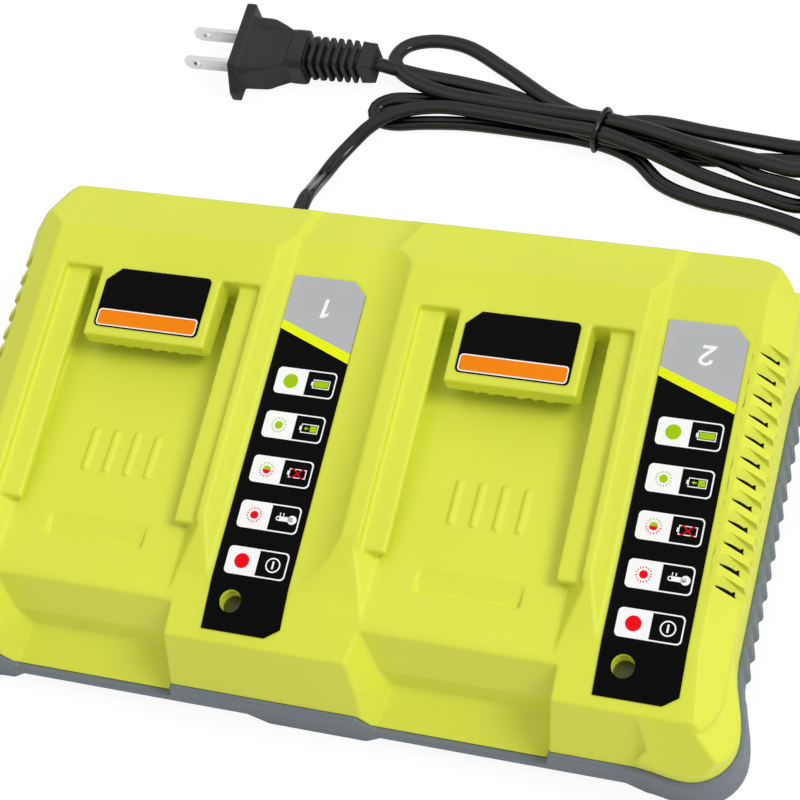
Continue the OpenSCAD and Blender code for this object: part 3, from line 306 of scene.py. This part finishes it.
def welded_copy(node, name):
    """A node's faces as one closed skin, in a mesh of its own."""
    shape = bmesh.new()
    shape.from_mesh(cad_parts[node].data)
    bmesh.ops.remove_doubles(shape, verts=shape.verts, dist=WELD * MM)
    return to_mesh(shape, name)


def on_fine_grid(mesh, name, voxel):
    """The same skin drawn again on an even grid, which can then be eased."""
    holder = bpy.data.objects.new(name, mesh)
    bpy.context.collection.objects.link(holder)
    grid = holder.modifiers.new("grid", "REMESH")
    grid.mode = "VOXEL"
    grid.voxel_size = voxel * MM
    depsgraph = bpy.context.evaluated_depsgraph_get()
    fine = bpy.data.meshes.new_from_object(holder.evaluated_get(depsgraph), depsgraph=depsgraph)
    bpy.data.objects.remove(holder)
    return fine


def get_points(mesh):
    """The vertices of a mesh as an array."""
    points = np.empty(len(mesh.vertices) * 3)
    mesh.vertices.foreach_get("co", points)
    return points.reshape(-1, 3)


def ease_edges(mesh, rounds, weight):
    """Rounds edges by moving each vertex towards its neighbours, as far as its weight lets it."""
    points = get_points(mesh)
    pairs = np.empty(len(mesh.edges) * 2, np.int64)
    mesh.edges.foreach_get("vertices", pairs)
    first, second = pairs.reshape(-1, 2).T
    count = len(points)
    neighbours = np.bincount(first, minlength=count) + np.bincount(second, minlength=count)
    for _ in range(rounds):
        middle = np.empty_like(points)
        for axis in range(3):
            place = points[:, axis]
            sums = np.bincount(first, place[second], count) + np.bincount(second, place[first], count)
            middle[:, axis] = sums / neighbours
        points += (EASE * weight)[:, None] * (middle - points)
    mesh.vertices.foreach_set("co", points.ravel())
    mesh.update()


def soften_node(node, name, easing, material, weigh=None):
    """A piece that stands for a node and has the eased edges of a real moulding."""
    voxel, rounds = easing
    mesh = on_fine_grid(welded_copy(node, name), name, voxel)
    points = get_points(mesh) / MM
    weight = np.ones(len(points)) if weigh is None else weigh(points)
    ease_edges(mesh, rounds, weight)
    mesh.shade_smooth()
    piece = add_piece(name, mesh, material)
    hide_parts(node)
    return piece


# ---- Outlines, as lists of X and Y in millimetres ----


def polar(x, y, radius, turn):
    """The point at a distance from a centre, in a direction given in turns."""
    angle = 2 * math.pi * turn
    return x + radius * math.cos(angle), y + radius * math.sin(angle)


def circle(x, y, radius, steps=32):
    """Outline of a disc."""
    return [polar(x, y, radius, i / steps) for i in range(steps)]


def rectangle(x0, y0, x1, y1):
    """Outline of a rectangle."""
    return [(x0, y0), (x1, y0), (x1, y1), (x0, y1)]


def rounded(x0, y0, x1, y1, radius, steps=6):
    """Outline of a rectangle with round corners, as many points for each, from the one at high X and Y."""
    left, right, low, high = x0 + radius, x1 - radius, y0 + radius, y1 - radius
    corners = [(right, high), (left, high), (left, low), (right, low)]
    return [
        polar(x, y, radius, (corner + i / steps) / 4)
        for corner, (x, y) in enumerate(corners) for i in range(steps + 1)
    ]


def bar(x0, y0, x1, y1, width):
    """Outline of a straight stroke between two points."""
    along = Vector((x1 - x0, y1 - y0)).normalized() * (width / 2)
    dx, dy = -along.y, along.x
    return [(x0 + dx, y0 + dy), (x0 - dx, y0 - dy), (x1 - dx, y1 - dy), (x1 + dx, y1 + dy)]


# ---- Mains lead ----

# The lead's section, the step of its sweep and the points round each of its two cores
CORD_WIDTH = 5.4
CORD_HEIGHT = 3.2
CORD_STEP = 2.0
LOBE_POINTS = 11
# Points of a spline between two given ones, and the least gap that it reckons with
SPLINE_STEPS = 24
SPLINE_GAP = 0.01
# The lead and its tie are kept this far above the table
CORD_LIFT = 0.05

# The tie: radius and sides of its wire, the step of its sweep and its way round the bundle
TIE_WIRE = 0.95
TIE_SIDES = 12
TIE_STEP = 0.8
TIE_ROUTE = [
    (41, 140.6, 1.8), (41.3, 139.7, 5.5), (41.8, 140.4, 9.9), (42.6, 143.2, 11.4), (43.6, 149, 11.5),
    (44.4, 152.2, 10.4), (44.8, 153.4, 6.4), (44.4, 152.2, 1.9), (43.4, 149, 1.05), (42, 143.4, 1.05),
    (41, 140.6, 1.8),
]

# Grid in millimetres and rounds of easing for the plug's mouldings
PLUG_EASING = (0.4, 7)
RELIEF_EASING = (0.3, 3)

# Route of the lead in millimetres, in stretches from the back wall to the plug
ROUTE_OUT = [
    (-48, 90, 24), (-48, 97, 22.5), (-49, 104, 17), (-50.5, 111, 10.5), (-51, 118, 5.5), (-49.5, 126, 3),
    (-45.5, 134, 2.8), (-41.5, 139, 4.2), (-36, 143.8, 5.2), (-28, 148, 5.2), (-16.4, 150.4, 5.2),
    (2.6, 149.4, 5.4), (28, 145.8, 7.6), (43, 143.6, 9), (60, 139.5, 7.2), (80, 133, 5), (100, 128.5, 3.4),
    (115.3, 126.3, 2.2), (124, 130.5, 1.7), (134, 138, 1.7),
]
ROUTE_FOLD = [
    (130, 112, 1.7), (116, 118.5, 1.7), (98, 122.8, 1.7), (82, 124.8, 1.7), (67, 129.8, 1.7),
    (56, 138.6, 2), (41, 143.4, 2.6), (15, 146, 1.7), (-7, 146.6, 1.7), (-22, 145.4, 1.7), (-34, 143.8, 1.7),
    (-40, 145.4, 1.7), (-41.6, 149.6, 1.7), (-37.5, 153.4, 1.7), (-28, 154.8, 1.7), (-10, 155, 1.7),
    (10, 152, 2.8), (25, 148.5, 4.8), (42.5, 143.8, 5.8), (60, 142, 3.8), (75, 141.2, 1.7), (90, 142.2, 1.7),
    (105, 143.6, 1.7), (113, 143.4, 2.4), (120, 140, 4), (128, 132, 5), (137, 124, 5),
]
ROUTE_LOOP = [
    (137, 150, 5), (124, 148.6, 4), (111, 148.4, 3.2), (98, 149.5, 3), (80, 151, 3.4), (60, 152.6, 4.4),
    (43, 149.6, 5.8), (32, 153, 4.9), (22, 157.6, 4.4), (2, 170.6, 1.8), (-15.2, 179.4, 1.7),
    (-28.5, 180.4, 1.7), (-37, 176.6, 2.4), (-39, 169.4, 4), (-33.5, 162.7, 5), (-18.5, 156.9, 5.1),
    (2.7, 154.3, 5.3), (27.5, 151.2, 7.2), (45, 149, 9), (60, 146.6, 8.6), (75, 143, 8.3),
    (100, 138.8, 7.6), (113.4, 136.9, 7.4), (121, 140.4, 7.8), (132, 147, 8.3),
]
ROUTE_PLUG = [
    (136, 119.5, 8.3), (124, 126.5, 7.2), (114, 130.8, 6), (100, 134, 5.4), (90, 138, 5.2), (75, 143, 5),
    (60, 147.4, 3.4), (42.5, 149.2, 2.6), (30, 152.4, 1.7), (18, 156.6, 1.7), (3, 160.8, 1.7),
    (-12, 163.4, 1.7), (-28, 164.8, 2.4), (-37, 165, 4.6), (-43, 165, 6.6), (-46, 165, 7),
]
# Right-hand turns of the bundle: centre X and Y, height and radius
TURNS = [(146, 125, 1.7, 16), (149, 136, 5, 14.6), (148, 133, 8.3, 16)]
TURN_STEPS = 6


def right_turn(turn):
    """Points of a half circle from its far side round to its near side."""
    x, y, z, radius = turn
    angles = [math.radians(90 - 180 * i / TURN_STEPS) for i in range(TURN_STEPS + 1)]
    return [(x + radius * math.cos(a), y + radius * math.sin(a), z) for a in angles]


def cord_route():
    """All listed points and turns of the lead in order."""
    there = right_turn(TURNS[0])
    fold = right_turn(TURNS[1])[::-1]
    last = right_turn(TURNS[2])
    return ROUTE_OUT + there + ROUTE_FOLD + fold + ROUTE_LOOP + last + ROUTE_PLUG


def smooth_line(points, step):
    """An even, smooth line through points, and its length."""
    points = np.array(points, float)
    ends = [2 * points[0] - points[1], *points, 2 * points[-1] - points[-2]]
    line = []
    for a, b, c, d in zip(ends, ends[1:], ends[2:], ends[3:]):
        gaps = [max(np.linalg.norm(q - p), SPLINE_GAP) ** 0.5 for p, q in ((a, b), (b, c), (c, d))]
        start = (c - b) - gaps[1] * ((c - a) / (gaps[0] + gaps[1]) - (b - a) / gaps[0])
        end = (c - b) - gaps[1] * ((d - b) / (gaps[1] + gaps[2]) - (d - c) / gaps[2])
        for t in np.linspace(0, 1, SPLINE_STEPS, endpoint=False):
            line.append(
                (2 * t**3 - 3 * t**2 + 1) * b + (t**3 - 2 * t**2 + t) * start
                + (3 * t**2 - 2 * t**3) * c + (t**3 - t**2) * end
            )
    line = np.array(line + [points[-1]])
    along = np.concatenate([[0], np.cumsum(np.linalg.norm(np.diff(line, axis=0), axis=1))])
    places = np.linspace(0, along[-1], int(along[-1] / step) + 1)
    return np.stack([np.interp(places, along, line[:, k]) for k in range(3)], axis=1), along[-1]


def twin_section():
    """Outline of the flat twin lead: two round cores side by side with a groove between them."""
    radius = CORD_HEIGHT / 2
    centre = CORD_WIDTH / 2 - radius
    reach = math.acos(-centre / radius)
    right = [
        (centre + radius * math.cos(a), radius * math.sin(a))
        for a in np.linspace(-reach, reach, LOBE_POINTS + 1, endpoint=False)[1:]
    ]
    groove = math.sqrt(radius**2 - centre**2)
    return [(0, -groove)] + right + [(0, groove)] + [(-x, -y) for x, y in right]


def sweep(name, line, section, upright=(0, 0, 1)):
    """A closed tube of that section along a line, with the section's X kept square to the upright."""
    shape = bmesh.new()
    rings = []
    for i, point in enumerate(line):
        along = line[min(i + 1, len(line) - 1)] - line[max(i - 1, 0)]
        along /= np.linalg.norm(along)
        side = np.cross(along, upright)
        side /= np.linalg.norm(side)
        up = np.cross(side, along)
        rings.append([shape.verts.new((point + x * side + y * up) * MM) for x, y in section])
    for near, far in zip(rings, rings[1:]):
        join_rings(shape, near, far)
    shape.faces.new(rings[0][::-1])
    shape.faces.new(rings[-1])
    bmesh.ops.recalc_face_normals(shape, faces=shape.faces)
    mesh = to_mesh(shape, name)
    mesh.shade_smooth()
    return mesh


def make_tie():
    """A thin plastic-covered wire round the waist of the bundle."""
    line, _ = smooth_line(TIE_ROUTE, TIE_STEP)
    line[:, 2] = np.maximum(line[:, 2], TIE_WIRE + CORD_LIFT)
    wire = sweep("bundle_tie", line, circle(0, 0, TIE_WIRE, TIE_SIDES), upright=(1, 0, 0))
    tie = add_piece("bundle_tie", wire, VINYL)
    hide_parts("cord_tie")
    return tie


def make_cord():
    """The lead, the tie round it and the plug at its end."""
    line, length = smooth_line(cord_route(), CORD_STEP)
    line[:, 2] = np.maximum(line[:, 2], CORD_HEIGHT / 2 + CORD_LIFT)
    cord = add_piece("mains_lead", sweep("mains_lead", line, twin_section()), VINYL)
    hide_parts("power_cord", "cord_hank")
    plug = soften_node("plug_body", "plug_moulding", PLUG_EASING, PLUG_VINYL)
    relief = soften_node("plug_relief", "plug_strain_relief", RELIEF_EASING, PLUG_VINYL)
    make_tie()


make_cord()

# ---- Housing ----

# Grid in millimetres and rounds of easing for the mouldings
COVER_EASING = ((0.45, 6))
BASE_EASING = ((0.45, 5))

# Fine forms in each bay: half width, reach along Y, reach along Z and how far their edges are eased
FINE_FORMS = {
    "teeth": (21.5, (18, 23.5), (44, 50.5), 0.1),
    "floor ribs": (14, (-25, -6), (0, 45), 0.3),
    "latch pocket": (17, (-49, -36), (0, 45), 0.3),
}
# The shoulders with the louvres: least X, reach along Y, least Z and how far their edges are eased
SHOULDERS = (119.5, (-36, 48), 26, 0.3)


def cover_weight(points):
    """How far the cover's mould rounds its edges: less on the fine teeth, ribs, pockets and louvres."""
    x, y, z = points.T
    weight = np.ones(len(points))
    for centre in BAY_CENTRES.values():
        for half, (front, back), (low, high), share in FINE_FORMS.values():
            inside = (np.abs(x - centre) < half) & (y > front) & (y < back) & (z > low) & (z < high)
            weight[inside] = share
    least_x, (front, back), least_z, share = SHOULDERS
    weight[(np.abs(x) > least_x) & (y < back) & (y > front) & (z > least_z)] = share
    return weight


# Corners of the louvre field on the right side; the left one mirrors it
LOUVRE_FIELD = ((119.8, -32.4, 31.8), (140.0, 48.6, 60.0))
# How far the sharp field laps over its cut, and the share of X by which it lies inside the eased skin
LOUVRE_FIELD_LAP = 0.4
LOUVRE_INSET = 0.9998
# Louvres: Y of the rearmost ramp's foot, spacing, count, X at the shoulder's top and the shoulder's lean
LOUVRE_FIRST_Y = 43.9
LOUVRE_PITCH = 6.7
LOUVRES = 12
LOUVRE_TOP_X = 121.3
LOUVRE_LEAN = math.radians(24)
# Half depth and length of a ramp
LOUVRE_DEPTH = 0.7
LOUVRE_RUN = 3.2
# Profile of a louvre's lip: where it turns down, its rise up to there and its fall beyond
LIP_CORNER = 11.65
LIP_RISE = 0.233
LIP_FALL = 0.445
# Share of the lip's height, less a start, over a scale: how much of the ramp's foot the lip hides
HIDDEN_SHARE = 0.652
HIDDEN_START = 1.1
HIDDEN_SCALE = 1.285
# Slits, drawn as black strips of painted shade: points along, thickness, where they start down the shoulder,
# length, the part under the lip, width at the ends, extra width in the middle and the power that fills out
# their shape
SLIT_STEPS = 12
SLIT_T = 0.06
SLIT_TOP = 1.6
SLIT_LEN = 11.6
SLIT_TUCK = 0.1
SLIT_ENDS = 0.12
SLIT_BULGE = 0.55
SLIT_FULLNESS = 0.8


def in_louvre_field(point):
    """Whether a point lies in one of the two louvre fields."""
    low, high = LOUVRE_FIELD
    place = (abs(point.x) / MM, point.y / MM, point.z / MM)
    return all(a < c < b for a, c, b in zip(low, place, high))


def sharp_field(side):
    """The part of the solid cover that lies in one louvre field, with flat faces."""
    mesh = welded_copy("top_housing", "sharp")
    field = bmesh.new()
    field.from_mesh(mesh)
    low, high = LOUVRE_FIELD
    for axis in range(3):
        mirrored = side if axis == 0 else 1
        for place, outwards in ((low[axis] - LOUVRE_FIELD_LAP, -1), (high[axis] + LOUVRE_FIELD_LAP, 1)):
            spot, away = Vector(), Vector()
            spot[axis] = mirrored * place * MM
            away[axis] = mirrored * outwards
            bmesh.ops.bisect_plane(
                field, geom=[*field.verts, *field.edges, *field.faces], plane_co=spot, plane_no=away,
                clear_outer=True,
            )
    bmesh.ops.scale(field, vec=(LOUVRE_INSET, 1, 1), verts=field.verts)
    for face in field.faces:
        face.smooth = False
    field.to_mesh(mesh)
    field.free()
    return mesh


def crisp_louvres(mesh):
    """Puts the sharp thin louvres back in place of the eased ones."""
    shape = bmesh.new()
    shape.from_mesh(mesh)
    eased = [face for face in shape.faces if in_louvre_field(face.calc_center_median())]
    bmesh.ops.delete(shape, geom=eased, context="FACES")
    for side in (-1, 1):
        shape.from_mesh(sharp_field(side))
    shape.to_mesh(mesh)
    shape.free()


def lip_height(down):
    """How far the lip of a louvre stands above the foot of its ramp, at a distance down the shoulder."""
    return LOUVRE_DEPTH + LIP_RISE * min(down, LIP_CORNER) - LIP_FALL * max(0, down - LIP_CORNER)


def slit_point(side, foot, down, run, lift):
    """A place on the ramp of one louvre: down the shoulder, along the ramp from its foot and above it."""
    out = lift - LOUVRE_DEPTH + 2 * LOUVRE_DEPTH * run / LOUVRE_RUN
    cosine, sine = math.cos(LOUVRE_LEAN), math.sin(LOUVRE_LEAN)
    x = side * (LOUVRE_TOP_X + out * cosine + down * sine)
    return Vector((x, foot + run, deck_z(foot) + out * sine - down * cosine)) * MM


def slit_ring(shape, side, foot, lift):
    """Vertices round one slit at a height above its ramp: down one long edge and up the other."""
    edges = ([], [])
    for k in range(SLIT_STEPS + 1):
        t = k / SLIT_STEPS
        down = SLIT_TOP + SLIT_LEN * t
        hidden = (HIDDEN_SHARE * lip_height(down) - HIDDEN_START) / HIDDEN_SCALE
        width = SLIT_ENDS + SLIT_BULGE * math.sin(math.pi * t) ** SLIT_FULLNESS
        for edge, run in zip(edges, (-SLIT_TUCK, max(hidden + width, 0.0))):
            edge.append(shape.verts.new(slit_point(side, foot, down, run, lift)))
    return edges[0] + edges[1][::-1]


def painted_slit_shade(side):
    """Black strips painted as the shade seen through the slits at the feet of the ramps on one side."""
    shape = bmesh.new()
    for i in range(LOUVRES):
        rings = [slit_ring(shape, side, LOUVRE_FIRST_Y - i * LOUVRE_PITCH, lift) for lift in (0.0, SLIT_T)]
        join_rings(shape, *rings)
        for ring in rings:
            for k in range(SLIT_STEPS):
                shape.faces.new((ring[k], ring[k + 1], ring[-2 - k], ring[-1 - k]))
    bmesh.ops.recalc_face_normals(shape, faces=shape.faces)
    name = "painted_slit_shade_right" if side > 0 else "painted_slit_shade_left"
    add_piece(name, to_mesh(shape, name), FILM_AND_SLIT_SHADE)


def make_housing():
    """The cover and the base with moulded edges."""
    cover = soften_node("top_housing", "cover", COVER_EASING, GREEN, cover_weight)
    crisp_louvres(cover.data)
    # Thin black strips painted as the shade seen through the louvre slits
    for side in (-1, 1):
        painted_slit_shade(side)
    soften_node("bottom_housing", "base", BASE_EASING, GREY)


make_housing()

# ---- Printed signs ----

# Thickness of one layer of ink in millimetres, and the layers as they lie above each other
LAYER = 0.04
GROUND, OVER, SIGN, INSIDE, TOP = range(1, 6)

# The label film, and the Y of its stripe's edges where they meet its left and right edge
LABEL_LEFT = 43.1
LABEL_RIGHT = 68.1
LABEL_BACK_Y = 50.05
LABEL_CUT = 4.5
STRIPE_BACK = (34.4, 25.4)
STRIPE_FRONT = (31.4, 22.0)

# The status boxes, each with a light in its white half and a sign in its black half
BOX_LEFT = 46.2
BOX_RIGHT = 66.0
BOX_HEIGHT = 8.9
BOX_LINE = 0.45
BOX_ROUND = 1.5
BOX_DIVIDE = 56.4
BOX_FIRST_Y = 14.0
BOX_PITCH = 14.95
LIGHT_X = 51.2
LIGHT_RADIUS = 2.4
BURST_RADIUS = 1.3
BURST_STEPS = 24
RAYS = 16
RAY_REACH = (1.95, 2.5)
RAY_WIDTH = 0.34
SIGN_X = 61.4


class Print:
    """Flat shapes in one ink, laid on a sloping film, with X counted from the centre of a bay."""

    def __init__(self, name, material, surface, centre):
        self.name, self.material, self.surface, self.centre = name, material, surface, centre
        self.shape = bmesh.new()

    def add(self, outline, layer):
        """A shape with its top on a numbered layer above the film."""
        low, high = (
            [self.shape.verts.new(Vector((x, y, self.surface(y) + lift)) * MM) for x, y in outline]
            for lift in (0.0, layer * LAYER)
        )
        join_rings(self.shape, low, high)
        self.shape.faces.new(high)
        self.shape.faces.new(low[::-1])

    def finish(self):
        """Makes the piece in its bay."""
        bmesh.ops.recalc_face_normals(self.shape, faces=self.shape.faces)
        bmesh.ops.translate(self.shape, vec=(self.centre * MM, 0, 0), verts=self.shape.verts)
        return add_piece(self.name, to_mesh(self.shape, self.name), self.material)


def light(ink):
    """A steady light, as shapes with their ink and layer."""
    return [(ink, circle(0, 0, LIGHT_RADIUS), OVER)]


def burst(ink, low=0, high=1):
    """A flashing light: a disc with a ring of rays, or what lies of it between two directions in turns."""
    points = BURST_STEPS + (0 if high - low == 1 else 1)
    disc = [polar(0, 0, BURST_RADIUS, low + (high - low) * i / BURST_STEPS) for i in range(points)]
    turns = [(i + 0.5) / RAYS for i in range(RAYS)]
    rays = [
        bar(*polar(0, 0, RAY_REACH[0], turn), *polar(0, 0, RAY_REACH[1], turn), RAY_WIDTH)
        for turn in turns if low <= turn <= high
    ]
    return [(ink, outline, OVER) for outline in [disc] + rays]


# Signs as shapes about their middle, with their ink and layer
BATTERY = [
    ("white", rectangle(-2.8, -1.5, 2.8, 1.5), SIGN), ("black", rectangle(-2.5, -1.2, 2.5, 1.2), INSIDE),
    ("white", rectangle(-3.3, -0.65, -2.7, 0.65), SIGN),
]
FULL = [("green", rectangle(-2.3, -1.0, 2.3, 1.0), TOP)]
FILLING = [
    ("green", rectangle(0.2, -1.0, 2.3, 1.0), TOP), ("green", [(-1.8, 0), (-1.0, -0.6), (-1.0, 0.6)], TOP),
    ("green", rectangle(-1.0, -0.22, -0.3, 0.22), TOP),
]
CROSS = [("red", bar(-1.3, -1.2 * slope, 1.3, 1.2 * slope, 0.32), TOP) for slope in (-1, 1)]
DASHES = [
    ("red", rectangle(x - 0.5, y - 0.16, x + 0.5, y + 0.16), TOP) for x in (-1.5, 1.5) for y in (-1.35, 1.35)
]
THERMOMETER = [
    ("white", rounded(-3.1, -0.75, 2.6, 0.75, 0.74), SIGN), ("white", circle(2.2, 0, 1.45), SIGN),
    ("black", circle(-2.35, 0, 0.4, 16), INSIDE),
    *(("white", rectangle(x - 0.16, 0.95, x + 0.16, 1.9), SIGN) for x in (-1.9, -0.8)),
]
SWITCH = [
    ("white", circle(0, 0, 2.4), SIGN), ("black", circle(0, 0, 1.95), INSIDE),
    ("white", rounded(-0.3, -1.3, 0.3, 1.3, 0.29), TOP),
]
# Light and sign of each status box, from the back to the front: ready, charging, faulty, hot and on
STATUS = [
    (light("green"), BATTERY + FULL), (burst("green"), BATTERY + FILLING),
    (burst("green", 0, 0.5) + burst("red", 0.5, 1), BATTERY + CROSS + DASHES), (burst("red"), THERMOMETER),
    (light("red"), SWITCH),
]

# Upright numerals 1 and 2 about their middle, and where it lies from the bay's centre
DIGITS = {
    "left": [
        [(-0.2, -3.3), (0.95, -3.3), (1.75, 3.3), (0.75, 3.3), (-0.9, 2.35), (-1.1, 1.2), (0.35, 1.95)],
    ],
    "right": [
        [(-2.5, -3.3), (1.7, -3.3), (1.85, -2.2), (-0.6, -2.2), (-2.3, -2.4)],
        [(-2.3, -2.4), (-0.6, -2.2), (1.9, 0.3), (0.9, 0.9)],
        [(0.9, 0.9), (1.9, 0.3), (2.45, 1.3), (1.35, 1.5)],
        [(1.35, 1.5), (2.45, 1.3), (2.3, 2.5), (1.2, 2.1)],
        [(1.2, 2.1), (2.3, 2.5), (1.3, 3.3), (0.7, 2.4)],
        [(0.7, 2.4), (1.3, 3.3), (-0.3, 3.4), (-0.1, 2.4)],
        [(-0.1, 2.4), (-0.3, 3.4), (-1.6, 2.6), (-0.7, 2.0)],
        [(-0.7, 2.0), (-1.6, 2.6), (-2.1, 1.5), (-1.0, 1.3)],
    ],
}
DIGIT_PLACE = (56.6, 39.6)

INKS = {
    "white": WHITE_INK, "black": BLACK_INK, "grey": GREY_INK, "stripe": STRIPE_INK, "green": GREEN_INK,
    "red": RED_INK,
}


def label_top(y):
    """Height of a label's upper face at a place along Y."""
    return deck_z(y) + LABEL_T / math.cos(DECK_TILT)


def label_end():
    """The grey end of a label and the stripe before it."""
    back, front = (list(zip((LABEL_LEFT, LABEL_RIGHT), edge)) for edge in (STRIPE_BACK, STRIPE_FRONT))
    end = [
        (LABEL_RIGHT, LABEL_BACK_Y - LABEL_CUT), (LABEL_RIGHT - LABEL_CUT, LABEL_BACK_Y),
        (LABEL_LEFT, LABEL_BACK_Y),
    ]
    return [("grey", back + end, GROUND), ("stripe", front + back[::-1], GROUND)]


def number(side):
    """The number of a bay, turned to be read from the back."""
    return [("white", [(-x, -y) for x, y in outline], OVER) for outline in DIGITS[side]]


def status_box():
    """A white box with a black right half, about the middle of its height."""
    half = BOX_HEIGHT / 2
    inner = half - BOX_LINE
    right = rounded(BOX_DIVIDE, -inner, BOX_RIGHT - BOX_LINE, inner, BOX_ROUND - BOX_LINE / 2)
    quarter = len(right) // 4
    right[quarter:3 * quarter] = [(BOX_DIVIDE, inner), (BOX_DIVIDE, -inner)]
    return [("white", rounded(BOX_LEFT, -half, BOX_RIGHT, half, BOX_ROUND), GROUND), ("black", right, OVER)]


def make_label(side):
    """The prints of one label: its grey end, the stripe, the bay's number and the five status boxes."""
    centre = BAY_CENTRES[side]
    inks = {key: Print(f"print_{side}_{key}", ink, label_top, centre) for key, ink in INKS.items()}
    rows = [BOX_FIRST_Y - i * BOX_PITCH for i in range(len(STATUS))]
    parts = [(0, 0, label_end()), (*DIGIT_PLACE, number(side)), *((0, y, status_box()) for y in rows)]
    for y, (lit, sign) in zip(rows, STATUS):
        parts += [(LIGHT_X, y, lit), (SIGN_X, y, sign)]
    for x, y, shapes in parts:
        for ink, outline, layer in shapes:
            inks[ink].add([(x + dx, y + dy) for dx, dy in outline], layer)
    for ink in inks.values():
        ink.finish()


# The plates on the terminal blocks: cut and round corners, and an orange band with a white line round it
PLATE_CUT = 4.5
PLATE_ROUND = 1.6
PLATE_LAYERS = 10
PLATE_BAND = (-16.9, 22.6, 16.9, 27.6)
PLATE_BAND_ROUND = 0.9
PLATE_LINE = 0.4
PLATE_LINE_ROUND = 1.2


def plate_top(y):
    """Height of a block plate's upper face at a place along Y."""
    return plateau_z(y) + PLATE_LAYERS * LAYER


def print_one(name, material, surface, side, outline, layer):
    """A print of a single shape in a bay."""
    ink = Print(name, material, surface, BAY_CENTRES[side])
    ink.add(outline, layer)
    return ink.finish()


def make_plate(side):
    """The plate on a terminal block with round corners, its orange band and a fine white line."""
    centre = BAY_CENTRES[side]
    low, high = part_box(f"block_plate_{side}")
    x0, y0, x1, y1 = low[0] / MM - centre, low[1] / MM, high[0] / MM - centre, high[1] / MM
    outline = rounded(x0, y0, x1, y1, PLATE_ROUND)
    quarter = len(outline) // 4
    outline[quarter:2 * quarter] = [(x0 + PLATE_CUT, y1), (x0, y1 - PLATE_CUT)]
    plate = print_one(f"plate_{side}", FILM_AND_SLIT_SHADE, plateau_z, side, outline, PLATE_LAYERS)
    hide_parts(f"block_plate_{side}")
    left, front, right, back = PLATE_BAND
    line = rounded(
        left - PLATE_LINE, front - PLATE_LINE, right + PLATE_LINE, back + PLATE_LINE, PLATE_LINE_ROUND
    )
    band = rounded(*PLATE_BAND, PLATE_BAND_ROUND)
    print_one(f"print_{side}_line", WHITE_INK, plate_top, side, line, GROUND)
    print_one(f"print_{side}_band", ORANGE_INK, plate_top, side, band, OVER)


for side_name in BAY_CENTRES:
    make_label(side_name)
    make_plate(side_name)

# ---- Floor and light ----

# The table: half its size in metres, its shade, its glow and the share of the glow that the camera sees
TABLE_HALF = 3.0
TABLE_SHADE = (0.9, 0.9, 0.9, 1)
TABLE_ROUGHNESS = 0.9
TABLE_GLOW = 1.04
TABLE_GLOW_SHARE = 0.88
# Strength of the room's light on the part; the camera sees the room plain white
ROOM_LIGHT = 0.54
# Lamps: strength, spread in degrees and where they shine from
SUNS = [("key", 1.4, 25, (0.66, 0.06, 0.75)), ("overhead", 0.35, 70, (-0.1, 0.5, 0.86))]


def make_floor():
    """A white table top that the camera sees almost plain white, with a faint shadow."""
    material, tree, shader = new_material("white_table", TABLE_SHADE, TABLE_ROUGHNESS, specular=0.0)
    glow = tree.nodes.new("ShaderNodeEmission")
    glow.inputs["Strength"].default_value = TABLE_GLOW
    path = tree.nodes.new("ShaderNodeLightPath")
    share = tree.nodes.new("ShaderNodeMath")
    share.operation = "MULTIPLY"
    share.inputs[1].default_value = TABLE_GLOW_SHARE
    mix = tree.nodes.new("ShaderNodeMixShader")
    tree.links.new(path.outputs["Is Camera Ray"], share.inputs[0])
    tree.links.new(share.outputs[0], mix.inputs[0])
    tree.links.new(shader.outputs[0], mix.inputs[1])
    tree.links.new(glow.outputs[0], mix.inputs[2])
    tree.links.new(mix.outputs[0], tree.nodes["Material Output"].inputs["Surface"])
    mesh = bpy.data.meshes.new("table")
    corners = rectangle(-TABLE_HALF, -TABLE_HALF, TABLE_HALF, TABLE_HALF)
    mesh.from_pydata([(x, y, 0) for x, y in corners], [], [(0, 1, 2, 3)])
    table = bpy.data.objects.new("table", mesh)
    bpy.context.collection.objects.link(table)
    mesh.materials.append(material)


def make_light():
    """Even white surroundings and a soft key light from the right."""
    world = bpy.data.worlds.new("room")
    bpy.context.scene.world = world
    world.use_nodes = True
    tree = world.node_tree
    room = tree.nodes["Background"]
    room.inputs["Color"].default_value = (1, 1, 1, 1)
    path = tree.nodes.new("ShaderNodeLightPath")
    level = tree.nodes.new("ShaderNodeMapRange")
    level.inputs["To Min"].default_value = ROOM_LIGHT
    level.inputs["To Max"].default_value = 1.0
    tree.links.new(path.outputs["Is Camera Ray"], level.inputs["Value"])
    tree.links.new(level.outputs["Result"], room.inputs["Strength"])
    for name, strength, spread, direction in SUNS:
        lamp = bpy.data.lights.new(name, "SUN")
        lamp.energy = strength
        lamp.angle = math.radians(spread)
        obj = bpy.data.objects.new(name, lamp)
        obj.rotation_euler = Vector(direction).to_track_quat("Z", "Y").to_euler()
        bpy.context.collection.objects.link(obj)


make_floor()
make_light()
bpy.context.scene.view_settings.view_transform = "Standard"
